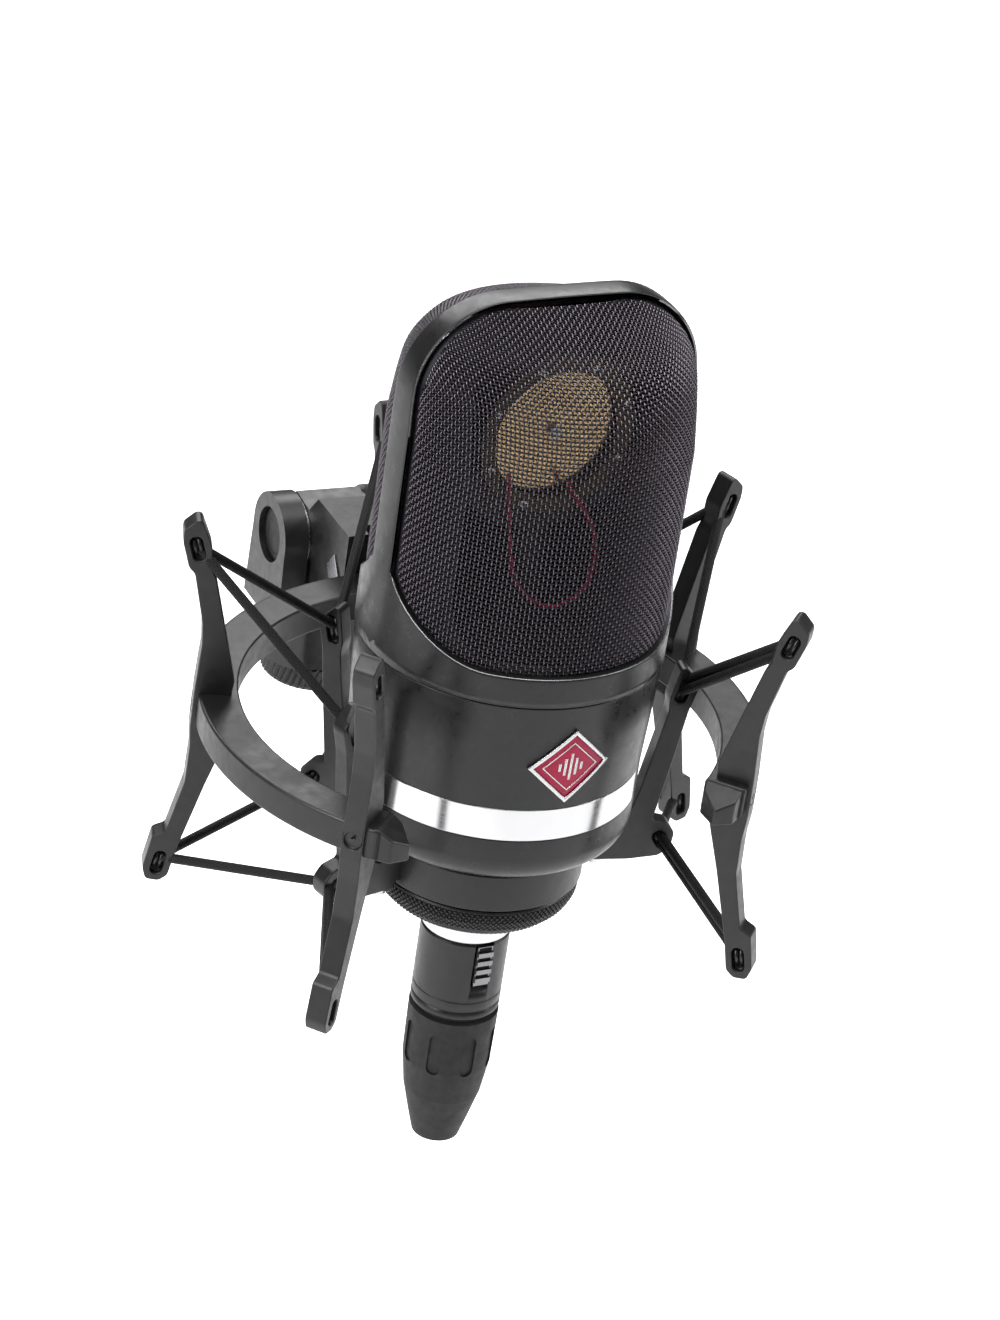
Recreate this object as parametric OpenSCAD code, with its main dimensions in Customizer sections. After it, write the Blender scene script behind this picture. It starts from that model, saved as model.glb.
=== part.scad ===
// Large-diaphragm condenser microphone in an elastic suspension with a swivel
// mount and a plugged-in cable connector.
// Row frame: origin at the mouth of the stand thread, +Z up, microphone faces -Y.
// Most modules are drawn in the microphone frame, whose origin is on the
// microphone's axis at the seam between its head and its body.

/* [Microphone] */
// Radius of the head and of the body at the seam
mic_r = 32; // [30:0.5:34]
// Height of the head above the seam
head_h = 76.5; // [75:0.5:85]
// Radius of the head's upper corners, seen from the front
head_corner_r = 19; // [17:0.5:22]
// Thickness of the arch that carries the two grilles, front to back
arch_depth = 8; // [7:0.5:12]
// Height of the collar under the grilles
collar_h = 6.2; // [5:0.1:9]
// Body radius at its lower end
body_low_r = 30.6; // [29:0.1:31]
// Distance from the seam down to the bright band
band_top_z = -24.5; // [-28:0.5:-22]
// Height of the bright band
band_h = 7.4; // [6:0.1:9]
// Height of the capsule's centre above the seam
capsule_z = 48; // [44:1:52]
// Capsule radius
capsule_r = 17; // [16:0.1:17.5]

/* [Suspension] */
// Outer radius of the outer ring
ring_r = 58.5; // [57:0.5:60]
// Inner radius of the outer ring
ring_bore_r = 50; // [49:0.5:51]
// Height of the outer ring
ring_h = 6.8; // [6:0.2:8]
// Thickness of a strut
strut_t = 4.6; // [4:0.2:5]
// Thickness of a cage arm
arm_t = 4; // [3:0.2:5]
// Diameter of an elastic strand
elastic_d = 2.2; // [1.5:0.1:2.6]

/* [Swivel] */
// Distance from the stand's axis to the microphone's axis
stand_offset = 85; // [84:0.5:88]
// Height of the head seam above the stand thread's mouth
seam_h = 50; // [50:0.5:52]
// Radius of the stand thread's bore
thread_r = 7.5; // [7:0.1:8]
// Depth of the stand thread
thread_depth = 12; // [10:0.5:13]

/* [Connector] */
// Outer radius of the cable connector
plug_r = 9.6; // [9.4:0.1:9.8]
// Radius of the cable entry in the boot
cable_r = 3.3; // [2.5:0.1:3.5]

/* [Pose of the suspension] */
// angle of the suspension about the stand, against the microphone
sway = -2.8; // [-5:0.2:5]

/* [Hidden] */
$fn = 96;
GAP = 0.3;
WALL = 1.8;

// angles from the front, positive towards +X
STRUT_ANGLES = [48, 107, 180, -107, -48];
ARM_ANGLES = [77.5, 143.5, -143.5, -77.5];
// which strut each elastic span runs from, and which arm it runs to
SPANS = [[0, 0], [1, 0], [1, 1], [2, 1], [2, 2], [3, 2], [3, 3], [4, 3]];

band_low_z = band_top_z - band_h;
cap_low_z = -42.5;
ring_top_z = -17.2;
ring_mid_z = ring_top_z - ring_h / 2;
ring_low_z = ring_top_z - ring_h;
ring_end_angle = 43;
cage_top_z = -46;
cage_low_z = -54;
cage_r = 22.4;
stub_r = 14.6;
stub_low_z = -61.5;
nut_top_z = -54.7;
nut_low_z = -62.8;
shell_low_z = -70.2;
plug_top_z = -70.5;
plug_low_z = -89.6;
boot_low_z = -124;
pin_circle_r = 3.9;
pin_r = 1.2;
PIN_ANGLES = [30, 150, 270];
pivot_y = stand_offset;
pivot_z = -21;
ear_r = 9.5;
ear_in_x = 8.4;
ear_out_x = 14;
tongue_x = 7.4;
switch_z = -12;
badge_z = -14;
badge_w = 9.2;
badge_hh = 8.6;

// ---------- helpers ----------

// microphone frame inside the row frame
module mic_frame() translate([0, -stand_offset, seam_h]) children();

// the same frame, turned about the stand together with the suspension
module ring_frame() rotate([0, 0, sway]) mic_frame() children();

// a point of the turned frame, given in the microphone's
function swayed(p) = [
    p[0] * cos(sway) - (p[1] - stand_offset) * sin(sway),
    p[0] * sin(sway) + (p[1] - stand_offset) * cos(sway) + stand_offset, p[2]
];

// an upright plate whose outline is given as [radius, height] points
module radial_plate(points, t)
    rotate([90, 0, -90]) linear_extrude(height = t, center = true) polygon(points);

// children drawn towards the front, turned to an angle from the front
module at_angle(a) rotate([0, 0, a]) children();

// a point at radius r and height z, at angle a from the front
function polar(r, a, z) = [r * sin(a), -r * cos(a), z];

// rectangle with round corners, separate radii below and above
module round_rect(half_w, low, high, r_low, r_high) {
    translate([-half_w, low + r_low]) square([2 * half_w, high - low - r_low - r_high]);
    translate([-half_w + r_low, low]) square([2 * (half_w - r_low), r_low + 1]);
    translate([-half_w + r_high, high - r_high - 1]) square([2 * (half_w - r_high), r_high + 1]);
    for (s = [-1, 1]) {
        translate([s * (half_w - r_low), low + r_low]) circle(r = r_low);
        translate([s * (half_w - r_high), high - r_high]) circle(r = r_high);
    }
}

// that outline, seen from the front, as a prism between two depths
module front_prism(half_w, low, high, r_low, r_high, y0, y1)
    translate([0, y1, 0]) rotate([90, 0, 0]) linear_extrude(height = y1 - y0)
        round_rect(half_w, low, high, r_low, r_high);

// star outline for straight knurling
module knurl_outline(r, depth, teeth)
    polygon([for (i = [0 : 2 * teeth - 1])
        let (a = 180 * i / teeth, q = i % 2 == 0 ? r : r - depth) [q * cos(a), q * sin(a)]]);

module tube(r_out, r_in, z0, z1)
    translate([0, 0, z0]) difference() {
        cylinder(r = r_out, h = z1 - z0);
        translate([0, 0, -1]) cylinder(r = r_in, h = z1 - z0 + 2);
    }

// cylinder lying along Y between two depths
module y_rod(r, y0, y1)
    translate([0, y0, 0]) rotate([-90, 0, 0]) cylinder(r = r, h = y1 - y0);

// cylinder lying along X between two places
module x_rod(r, x0, x1)
    translate([x0, 0, 0]) rotate([0, 90, 0]) cylinder(r = r, h = x1 - x0);

// straight rod between two points, shortened at both ends
module rod(p, q, d, trim_p, trim_q) {
    v = q - p;
    len_v = norm(v);
    tilt = acos(v[2] / len_v);
    turn = atan2(v[1], v[0]);
    translate(p) rotate([0, tilt, turn]) translate([0, 0, trim_p])
        cylinder(d = d, h = len_v - trim_p - trim_q, $fn = 20);
}

// ---------- head ----------

module head_outline(half_w, top, r_top, y0, y1)
    front_prism(half_w, -5, top, 1, r_top, y0, y1);

module head_frame() color([0.09, 0.09, 0.095]) mic_frame() difference() {
    intersection() {
        cylinder(r = mic_r, h = head_h, $fn = 160);
        head_outline(mic_r + 0.01, head_h, head_corner_r, -mic_r - 1, mic_r + 1);
    }
    for (s = [0, 1]) mirror([0, s, 0]) {
        front_prism(mic_r - 0.35, collar_h, head_h - 0.8, 13, head_corner_r - 0.5, -mic_r - 2,
            -arch_depth / 2);
        translate([-mic_r - 1, -mic_r - 1, head_h / 2])
            cube([2 * mic_r + 2, mic_r + 1 - arch_depth / 2, head_h]);
    }
    intersection() {
        translate([0, 0, 4]) cylinder(r = mic_r - WALL, h = head_h);
        front_prism(mic_r - WALL, 3, head_h - 2.3, 3, head_corner_r - 2, -mic_r, mic_r);
    }
    translate([0, 0, -1]) cylinder(r = mic_r - 4.5, h = 8);
}

// side profile of a grille, from its lower edge over the shoulder to the arch: [reach, height]
GRILLE_PROFILE = [
    [mic_r - 1, 5], [mic_r - 1, head_h - 19], [mic_r - 1.5, head_h - 15.9],
    [mic_r - 2.8, head_h - 13.1], [mic_r - 5, head_h - 10.9], [mic_r - 7.6, head_h - 9.6],
    [3, head_h - 2.2], [3, 5]
];

// one grille: a thin mesh shell, round like the body, with a top that slopes to the arch
module grille_solid(inset) intersection() {
    translate([0, 0, collar_h + 0.2]) cylinder(r = mic_r - 1 - inset, h = head_h, $fn = 160);
    rotate([90, 0, 90]) linear_extrude(height = 3 * mic_r, center = true)
        polygon([for (p = GRILLE_PROFILE) [inset - p[0], p[1] - inset]]);
    front_prism(mic_r - 1.1 - inset, collar_h + 0.1, head_h - 1 - inset, 12.9,
        head_corner_r - 0.6 - inset, -mic_r, -arch_depth / 2 - 0.1 + inset * 3);
}

module grille() difference() {
    grille_solid(0);
    grille_solid(0.9);
}

module front_grille() color([0.16, 0.15, 0.17]) mic_frame() grille();

module rear_grille() color([0.16, 0.15, 0.17]) mic_frame() mirror([0, 1, 0]) grille();

// ---------- capsule ----------

module at_capsule() mic_frame() translate([0, 0, capsule_z]) children();

module capsule_body() color([0.72, 0.6, 0.32]) at_capsule() difference() {
    y_rod(capsule_r, -6, 6);
    y_rod(capsule_r - 2.4, -7, -2.5);
    y_rod(capsule_r - 2.4, 2.5, 7);
    y_rod(4, -3, 3);
}

module backplate() color([0.8, 0.65, 0.3]) at_capsule() for (s = [0, 1]) mirror([0, s, 0])
    y_rod(capsule_r - 2.5, -4.4, -2.55);

module diaphragm_disc() at_capsule() y_rod(capsule_r - 2.5, -4.9, -4.45);

module front_diaphragm() color([0.93, 0.74, 0.38]) diaphragm_disc();

module rear_diaphragm() color([0.93, 0.74, 0.38]) mirror_at_axis() diaphragm_disc();

// front-to-back mirror about the microphone's axis
module mirror_at_axis() translate([0, -2 * stand_offset, 0]) mirror([0, 1, 0]) children();

module capsule_clamp_rings() color([0.85, 0.7, 0.4]) at_capsule()
    for (s = [0, 1]) mirror([0, s, 0]) difference() {
        y_rod(capsule_r, -7.2, -6.05);
        y_rod(capsule_r - 3.2, -8, -5);
    }

module capsule_screws() color([0.8, 0.78, 0.7]) at_capsule() for (s = [0, 1]) mirror([0, s, 0]) {
    for (i = [0 : 7]) rotate([0, i * 45 + 22.5, 0]) translate([capsule_r - 1.5, 0, 0])
        y_rod(0.75, -7.8, -7.25, $fn = 16);
    y_rod(1.3, -6.2, -4.95, $fn = 24);
}

module capsule_saddle() color([0.12, 0.12, 0.13]) mic_frame() {
    translate([0, 0, 3.8]) cylinder(r = 4.5, h = 22.6);
    difference() {
        translate([0, 0, capsule_z]) y_rod(capsule_r + 5, -4.5, 4.5);
        translate([0, 0, capsule_z]) y_rod(capsule_r + 0.1, -6, 6);
        translate([-30, -6, capsule_z - 8]) cube([60, 12, 40]);
    }
}

module capsule_base() color([0.1, 0.1, 0.11]) mic_frame() {
    translate([0, 0, 0.3]) cylinder(r = mic_r - 4.6, h = 3.4);
}

// route of the capsule's lead: out of the rim, down to the base and up again
LEAD_ROUTE = [
    [-10.5, -8.2, 41], [-10, -8.4, 36], [-9, -8.6, 30], [-8.2, -8.7, 25], [-7.2, -8.8, 20],
    [-5, -8.9, 15.5], [-2, -9, 12.2], [1.5, -9, 10.2], [5, -9, 9.8], [8.4, -9, 11.2],
    [10.8, -8.9, 14], [11.8, -8.8, 18], [11.6, -8.7, 23], [10.2, -8.6, 27.5],
    [7.6, -8.5, 31.4], [5, -8.4, 34.4], [3.4, -8.2, 37.6]
];
LEAD_SIDES = 8;
function lead_dir(i) = let (n = len(LEAD_ROUTE) - 1,
    d = LEAD_ROUTE[min(i + 1, n)] - LEAD_ROUTE[max(i - 1, 0)]) d / norm(d);
function lead_side(i) = let (s = cross(lead_dir(i), [0, 1, 0])) s / norm(s);

module route_tube(r) {
    rings = len(LEAD_ROUTE);
    points = [for (i = [0 : rings - 1]) let (u = lead_side(i), w = cross(lead_dir(i), u))
        for (k = [0 : LEAD_SIDES - 1]) let (a = 360 * k / LEAD_SIDES)
            LEAD_ROUTE[i] + r * cos(a) * u + r * sin(a) * w];
    walls = [for (i = [0 : rings - 2]) for (k = [0 : LEAD_SIDES - 1])
        let (a = i * LEAD_SIDES + k, b = i * LEAD_SIDES + (k + 1) % LEAD_SIDES)
            [a, b, b + LEAD_SIDES, a + LEAD_SIDES]];
    start = [[for (k = [LEAD_SIDES - 1 : -1 : 0]) k]];
    end = [[for (k = [0 : LEAD_SIDES - 1]) (rings - 1) * LEAD_SIDES + k]];
    polyhedron(points = points, faces = concat(walls, start, end));
}

module capsule_leads() color([0.65, 0.08, 0.16]) mic_frame() route_tube(0.5);

// ---------- body ----------

module body_shell() color([0.1, 0.1, 0.105]) mic_frame() difference() {
    rotate_extrude($fn = 160) polygon([
        [mic_r - 0.6, -GAP], [mic_r - 0.2, -0.7], [body_low_r, band_top_z + 0.1],
        [body_low_r - WALL, band_top_z + 0.1], [mic_r - 0.4 - WALL, -GAP]
    ]);
    translate([0, 0, switch_z]) y_rod(6.02, 20, 40);
    for (i = [-2 : 2]) translate([0, 0, switch_z]) rotate([0, i * 24, 0])
        translate([0, 0, 9.5]) y_rod(0.9, 20, 40, $fn = 20);
}

module chrome_band() color([0.9, 0.9, 0.9]) mic_frame()
    tube(body_low_r, 28.5, band_low_z + 0.1, band_top_z);

module bottom_cap() color([0.1, 0.1, 0.105]) mic_frame()
    rotate_extrude($fn = 160) polygon(concat(
        [[26.4, band_top_z + 7], [28.3, band_top_z + 7], [28.4, band_low_z],
         [body_low_r - 0.1, band_low_z]],
        [for (a = [0 : 10 : 80]) [26.1 + 4.3 * cos(a), -36.6 - 5.9 * sin(a)]],
        [[18, cap_low_z], [18, cage_top_z + 0.05], [stub_r, cage_top_z + 0.05],
         [stub_r, stub_low_z], [9.7, stub_low_z], [9.7, -38.5],
         [25, -38.5], [26.4, -36]]
    ));

module chassis_rails() color([0.7, 0.7, 0.72]) mic_frame()
    for (s = [-1, 1]) translate([s * 20 - 2, -2, -38.4]) cube([4, 4, 38.6]);

module main_board() color([0.1, 0.32, 0.18]) mic_frame()
    translate([-19, 3, -36]) cube([38, 1.6, 34]);

module switch_board() color([0.1, 0.32, 0.18]) mic_frame()
    translate([-11, 20, -22.5]) cube([22, 1.4, 20]);

module board_components() color([0.2, 0.2, 0.22]) mic_frame() {
    for (x = [-13, -4.5, 4]) translate([x, 0, -10]) y_rod(3.4, -9, 2.95, $fn = 32);
    translate([-14, -4, -33]) cube([12, 6.95, 10]);
    for (z = [-32, -25]) translate([4, 1, z]) cube([9, 1.95, 5]);
    for (i = [0 : 4]) translate([-15 + i * 6, 4.65, -20]) cube([3.5, 2.2, 7]);
}

module diamond_prism(w, h)
    translate([0, 0, badge_z]) rotate([90, 0, 0]) linear_extrude(height = 60)
        polygon([[w, 0], [0, h], [-w, 0], [0, -h]]);

// a thin skin that follows the body's taper, between two heights above its surface
module body_skin(off_in, off_out) difference() {
    translate([0, 0, band_top_z]) cylinder(r1 = body_low_r + off_out, r2 = mic_r - 0.2 + off_out,
        h = -band_top_z - 0.7, $fn = 160);
    translate([0, 0, band_top_z]) cylinder(r1 = body_low_r + off_in, r2 = mic_r - 0.2 + off_in,
        h = -band_top_z - 0.7, $fn = 160);
}

module badge_frame() color([0.8, 0.8, 0.82]) mic_frame() difference() {
    intersection() {
        body_skin(0.02, 0.8);
        diamond_prism(badge_w, badge_hh);
    }
    diamond_prism(badge_w - 1.15, badge_hh - 1.1);
}

module badge_enamel() color([0.68, 0.1, 0.2]) mic_frame() intersection() {
    body_skin(0.02, 0.6);
    diamond_prism(badge_w - 1.17, badge_hh - 1.12);
}

// ---------- navigation switch at the rear ----------

module at_switch() mic_frame() translate([0, 0, switch_z]) children();

module nav_bezel() color([0.85, 0.85, 0.86]) at_switch() difference() {
    y_rod(6, 28.7, 32.2);
    y_rod(5.5, 28, 33);
}

module nav_gimbal() color([0.5, 0.5, 0.52]) at_switch() difference() {
    y_rod(3, 23.2, 24.8);
    y_rod(1.7, 23, 25);
}

module nav_switch() color([0.12, 0.12, 0.13]) at_switch() {
    y_rod(1.4, 22, 28.5);
    rotate([-90, 0, 0]) rotate_extrude() polygon([
        [0, 28.4], [4.1, 28.4], [4.1, 31.6], [3.6, 32.3], [2.4, 32.7], [0, 32.5]
    ]);
}

module indicator_windows() color([0.75, 0.78, 0.75]) at_switch()
    for (i = [-2 : 2]) rotate([0, i * 24, 0]) translate([0, 0, 9.5]) y_rod(0.85, 27.8, 30.9, $fn = 20);

// ---------- microphone's connector ----------

module xlr_shell() color([0.9, 0.9, 0.9]) mic_frame() tube(9.55, 8.15, shell_low_z, -40);

module xlr_insert() color([0.1, 0.1, 0.1]) mic_frame() difference() {
    translate([0, 0, -50]) cylinder(r = 8.1, h = 7);
    for (a = PIN_ANGLES) rotate([0, 0, a]) translate([pin_circle_r, 0, -51])
        cylinder(r = pin_r + 0.02, h = 9, $fn = 24);
}

module xlr_pins() color([0.85, 0.85, 0.8]) mic_frame()
    for (a = PIN_ANGLES) rotate([0, 0, a]) translate([pin_circle_r, 0, -66])
        cylinder(r = pin_r, h = 25, $fn = 24);

// ---------- cage under the microphone ----------

module cage_ring() color([0.12, 0.12, 0.125]) mic_frame() difference() {
    rotate_extrude($fn = 120) polygon([
        [15, cage_low_z], [cage_r, cage_low_z], [cage_r, cage_top_z + 0.6],
        [cage_r - 0.6, cage_top_z], [15, cage_top_z]
    ]);
    for (a = ARM_ANGLES) at_angle(a) translate([-arm_t / 2 - 0.02, -cage_r - 2, -53.2])
        cube([arm_t + 0.04, 4, 6.4]);
}

// outline of a cage arm: tongue in the ring, arm, lower hook and upright
ARM_OUTLINE = [
    [20.4, -47], [28.6, -47], [30.9, -45.2], [33, -37.6], [36.4, -18.6], [36.2, -15.8],
    [37.6, -8.4], [38.9, -8], [42.1, -11.6], [42.2, -13], [40.8, -18.2], [39.2, -30],
    [36.9, -45], [40.6, -45.9], [42.3, -48.2], [42, -51.4], [39.6, -53.8], [33, -54.6],
    [23.4, -54.6], [23.4, -53], [20.4, -53]
];

module cage_arm(a) color([0.13, 0.13, 0.135]) mic_frame() at_angle(a) difference() {
    radial_plate(ARM_OUTLINE, arm_t);
    for (p = [[38.8, -11.6], [39.3, -15.4], [39.4, -49.8]])
        translate([0, -p[0], p[1]]) x_rod(1.35, -5, 5, $fn = 24);
}

module cage_arm_right_front() cage_arm(ARM_ANGLES[0]);
module cage_arm_right_rear() cage_arm(ARM_ANGLES[1]);
module cage_arm_left_rear() cage_arm(ARM_ANGLES[2]);
module cage_arm_left_front() cage_arm(ARM_ANGLES[3]);

module arm_screws() color([0.6, 0.6, 0.62]) mic_frame() for (a = ARM_ANGLES) at_angle(a)
    translate([0, -26, -54.65]) mirror([0, 0, 1]) cylinder(r = 1.6, h = 1, $fn = 24);

module nut_washer() color([0.75, 0.75, 0.76]) mic_frame()
    tube(19, 14.8, nut_top_z + 0.1, cage_low_z - 0.1);

module clamp_nut() color([0.12, 0.12, 0.125]) mic_frame() difference() {
    union() {
        translate([0, 0, -58]) linear_extrude(height = nut_top_z + 58) knurl_outline(22, 0.5, 64);
        rotate_extrude($fn = 96) polygon([
            [13, nut_low_z], [17, nut_low_z], [18.2, nut_low_z + 1], [19.8, -60], [21.3, -57.6],
            [13, -57.6]
        ]);
    }
    translate([0, 0, -70]) cylinder(r = stub_r + 0.05, h = 20);
}

// ---------- elastics ----------

STRUT_HOLES_UP = [[62.3, 17.4], [61.1, 13.4]];
STRUT_HOLES_LOW = [[62, -56], [63.3, -60]];

module upper_elastic() color([0.05, 0.05, 0.05]) mic_frame() for (s = SPANS)
    rod(swayed(polar(61.7, STRUT_ANGLES[s[0]], 15.4)), polar(39, ARM_ANGLES[s[1]], -13.5),
        elastic_d, 7, 5.6);

module lower_elastic() color([0.05, 0.05, 0.05]) mic_frame() for (s = SPANS)
    rod(swayed(polar(62.6, STRUT_ANGLES[s[0]], -58)), polar(39.4, ARM_ANGLES[s[1]], -49.8),
        elastic_d, 7, 5.2);

// ---------- outer ring and struts ----------

module outer_ring() color([0.13, 0.13, 0.135]) ring_frame() {
    difference() {
        rotate_extrude($fn = 160) polygon([
            [ring_bore_r, ring_low_z + 0.5], [ring_bore_r + 0.5, ring_low_z], [ring_r - 0.6, ring_low_z],
            [ring_r, ring_low_z + 0.6], [ring_r, ring_top_z - 0.6], [ring_r - 0.6, ring_top_z],
            [ring_bore_r + 0.5, ring_top_z], [ring_bore_r, ring_top_z - 0.5]
        ]);
        translate([0, 0, ring_mid_z]) linear_extrude(height = 20, center = true) polygon([
            [0, 0], [100 * sin(ring_end_angle), -100 * cos(ring_end_angle)],
            [-100 * sin(ring_end_angle), -100 * cos(ring_end_angle)]
        ]);
        for (a = STRUT_ANGLES) at_angle(a)
            translate([-strut_t / 2 - 0.02, -ring_r - 5, ring_low_z - 1])
                cube([strut_t + 0.04, ring_r + 5 - ring_bore_r - 1.5, ring_h + 2]);
        for (a = STRUT_ANGLES) at_angle(a) translate([0, 0, ring_mid_z]) y_rod(1.3, -60, -40, $fn = 24);
        for (x = [-5, 5]) translate([x, 0, ring_mid_z]) y_rod(1.3, 40, 70, $fn = 24);
    }
    for (s = [0, 1]) mirror([s, 0, 0]) at_angle(ring_end_angle) ring_prow();
}

// pointed end of the ring, with a sloping top
module ring_prow() difference() {
    translate([0, 0, ring_low_z]) linear_extrude(height = ring_h) polygon([
        [0.6, -ring_bore_r - 0.2], [-2, -ring_bore_r - 0.6], [-5.4, -ring_bore_r - 4.6],
        [-2.6, -ring_r + 0.6], [0.6, -ring_r + 0.4]
    ]);
    translate([0, 0, ring_top_z]) rotate([0, -32, 0]) translate([-12, -70, 0]) cube([12, 40, 10]);
}

// outline of a strut: upper arm, tip pads and lower arm around the ring
STRUT_OUTLINE = [
    [51.6, -16.2], [51.3, -14], [57.4, 9.6], [58.4, 11.2], [58.8, 16.2], [61.2, 22], [62.4, 22.2],
    [64.9, 19.8], [64.8, 17], [63.1, 11.4], [61.8, 10.2], [59.2, -1], [58.8, -6], [59.3, -16.2],
    [59.4, -25], [59, -30], [59.2, -38.3], [62, -50.4], [64.6, -51.6], [66, -59.4], [65.2, -62],
    [62.4, -62.4], [60.6, -61], [59.2, -54], [54.9, -38.3], [51.4, -27], [51.6, -24.6]
];

module strut(a) color([0.14, 0.14, 0.145]) ring_frame() at_angle(a) difference() {
    radial_plate(STRUT_OUTLINE, strut_t);
    for (p = concat(STRUT_HOLES_UP, STRUT_HOLES_LOW))
        translate([0, -p[0], p[1]]) x_rod(1.3, -5, 5, $fn = 24);
    translate([0, 0, ring_mid_z]) y_rod(1.3, -61, -50, $fn = 24);
}

module strut_right_front() strut(STRUT_ANGLES[0]);
module strut_right() strut(STRUT_ANGLES[1]);
module strut_rear() strut(STRUT_ANGLES[2]);
module strut_left() strut(STRUT_ANGLES[3]);
module strut_left_front() strut(STRUT_ANGLES[4]);

module strut_screws() color([0.1, 0.1, 0.1]) ring_frame() for (a = STRUT_ANGLES) at_angle(a)
    translate([0, 0, ring_mid_z]) {
        y_rod(1.28, -59.5, -50.6, $fn = 24);
        difference() {
            y_rod(2.2, -60.3, -59.45, $fn = 32);
            for (t = [0, 90]) rotate([0, t, 0]) translate([-0.3, -61, -1.3]) cube([0.6, 1.2, 2.6]);
        }
    }

// ---------- swivel ----------

module at_pivot() ring_frame() translate([0, pivot_y, pivot_z]) children();

module swivel_tongue() color([0.11, 0.11, 0.115]) ring_frame() difference() {
    union() {
        rotate([90, 0, 90]) linear_extrude(height = 2 * tongue_x, center = true)
            polygon([
                [55, -8], [76.5, -8], [pivot_y, pivot_z + 9], [pivot_y, pivot_z - 9],
                [70, -29.4], [55, -27.6]
            ]);
        translate([0, pivot_y, pivot_z]) x_rod(9, -tongue_x, tongue_x);
    }
    translate([0, 0, -50]) cylinder(r = ring_r + 0.02, h = 80, $fn = 160);
    translate([-strut_t / 2 - 0.2, 50, -40]) cube([strut_t + 0.4, 12.5, 40]);
    translate([0, pivot_y, pivot_z]) x_rod(3.05, -20, 20);
    for (x = [-5, 5]) translate([x, 0, ring_mid_z]) y_rod(1.28, 50, 68, $fn = 24);
}

module tongue_screws() color([0.55, 0.55, 0.57]) ring_frame()
    for (x = [-5, 5]) translate([x, 0, ring_mid_z]) {
        y_rod(1.26, 49.5, 67.5, $fn = 24);
        y_rod(2.1, 48.2, 49.6, $fn = 32);
    }

module swivel_fork() color([0.13, 0.13, 0.135]) at_pivot() difference() {
    union() {
        for (s = [0, 1]) mirror([s, 0, 0]) {
            x_rod(ear_r, ear_in_x, ear_out_x);
            translate([ear_in_x, -ear_r, -22]) cube([ear_out_x - ear_in_x, 2 * ear_r, 22]);
        }
        intersection() {
            translate([-ear_out_x, -11.6, -28.8]) cube([2 * ear_out_x, 23.2, 16]);
            translate([0, 0, -30]) cylinder(r = ear_out_x, h = 20);
        }
    }
    x_rod(3.05, -20, 20);
    x_rod(6.2, -20, -ear_out_x + 2.6);
    translate([0, 0, -40]) cylinder(r = thread_r + 1.62, h = 11 + thread_depth);
}

module pivot_bolt() color([0.09, 0.09, 0.095]) at_pivot() {
    x_rod(3, -ear_out_x + 2.5, ear_out_x + 6);
    difference() {
        x_rod(6, -ear_out_x + 0.7, -ear_out_x + 2.58);
        x_rod(3.4, -ear_out_x, -ear_out_x + 1.3, $fn = 6);
    }
}

module friction_washers() color([0.7, 0.7, 0.7]) at_pivot() for (s = [0, 1]) mirror([s, 0, 0])
    difference() {
        x_rod(8, tongue_x + 0.05, ear_in_x - 0.05);
        x_rod(3.1, tongue_x - 1, ear_in_x + 1);
    }

module tilt_knob() color([0.1, 0.1, 0.105]) at_pivot() difference() {
    union() {
        translate([ear_out_x + 0.3, 0, 0]) rotate([0, 90, 0]) cylinder(r = 6.5, h = 2);
        translate([ear_out_x + 2.2, 0, 0]) rotate([0, 90, 0]) linear_extrude(height = 7)
            knurl_outline(9, 0.7, 24);
    }
    x_rod(3.05, ear_out_x - 1, ear_out_x + 6.1);
}

module thread_insert() color([0.78, 0.68, 0.4]) tube(thread_r + 1.6, thread_r, 0, thread_depth);

module lock_ring() color([0.12, 0.12, 0.125]) difference() {
    translate([0, 0, -6]) linear_extrude(height = 5.8) knurl_outline(11.2, 0.5, 48);
    translate([0, 0, -8]) cylinder(r = thread_r + 0.5, h = 10);
}

// ---------- cable connector ----------

module plug_shell() color([0.12, 0.12, 0.125]) mic_frame() difference() {
    rotate_extrude() polygon([
        [6.9, plug_low_z], [plug_r, plug_low_z], [plug_r, plug_top_z - 0.5],
        [plug_r - 0.5, plug_top_z], [8, plug_top_z], [8, -52], [6.9, -52]
    ]);
    translate([-2.1, -12, -81]) cube([4.2, 6, 14]);
}

module plug_latch() color([0.85, 0.85, 0.86]) mic_frame() {
    translate([-1.75, -9.9, -80.6]) cube([3.5, 1.6, 9.6]);
    for (i = [0 : 3]) translate([-1.75, -10.5, -79.6 + i * 2.1]) cube([3.5, 0.7, 1.1]);
    translate([-1, -8.4, -79]) cube([2, 0.8, 7]);
}

module plug_insert() color([0.08, 0.08, 0.08]) mic_frame() difference() {
    translate([0, 0, -78]) cylinder(r = 6.35, h = 25.4);
    for (a = PIN_ANGLES) rotate([0, 0, a]) translate([pin_circle_r, 0, -79])
        cylinder(r = 1.85, h = 30, $fn = 24);
}

module plug_contacts() color([0.8, 0.7, 0.4]) mic_frame()
    for (a = PIN_ANGLES) rotate([0, 0, a]) translate([pin_circle_r, 0, 0]) difference() {
        translate([0, 0, -82]) cylinder(r = 1.83, h = 28, $fn = 24);
        translate([0, 0, -69]) cylinder(r = pin_r + 0.06, h = 20, $fn = 24);
    }

module plug_chuck() color([0.2, 0.2, 0.2]) mic_frame() difference() {
    translate([0, 0, -103]) cylinder(r = 6.2, h = 18);
    translate([0, 0, -104]) cylinder(r = cable_r + 0.1, h = 20);
    for (a = [0, 60, 120]) rotate([0, 0, a]) translate([-0.5, -8, -104]) cube([1, 16, 8]);
}

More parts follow.
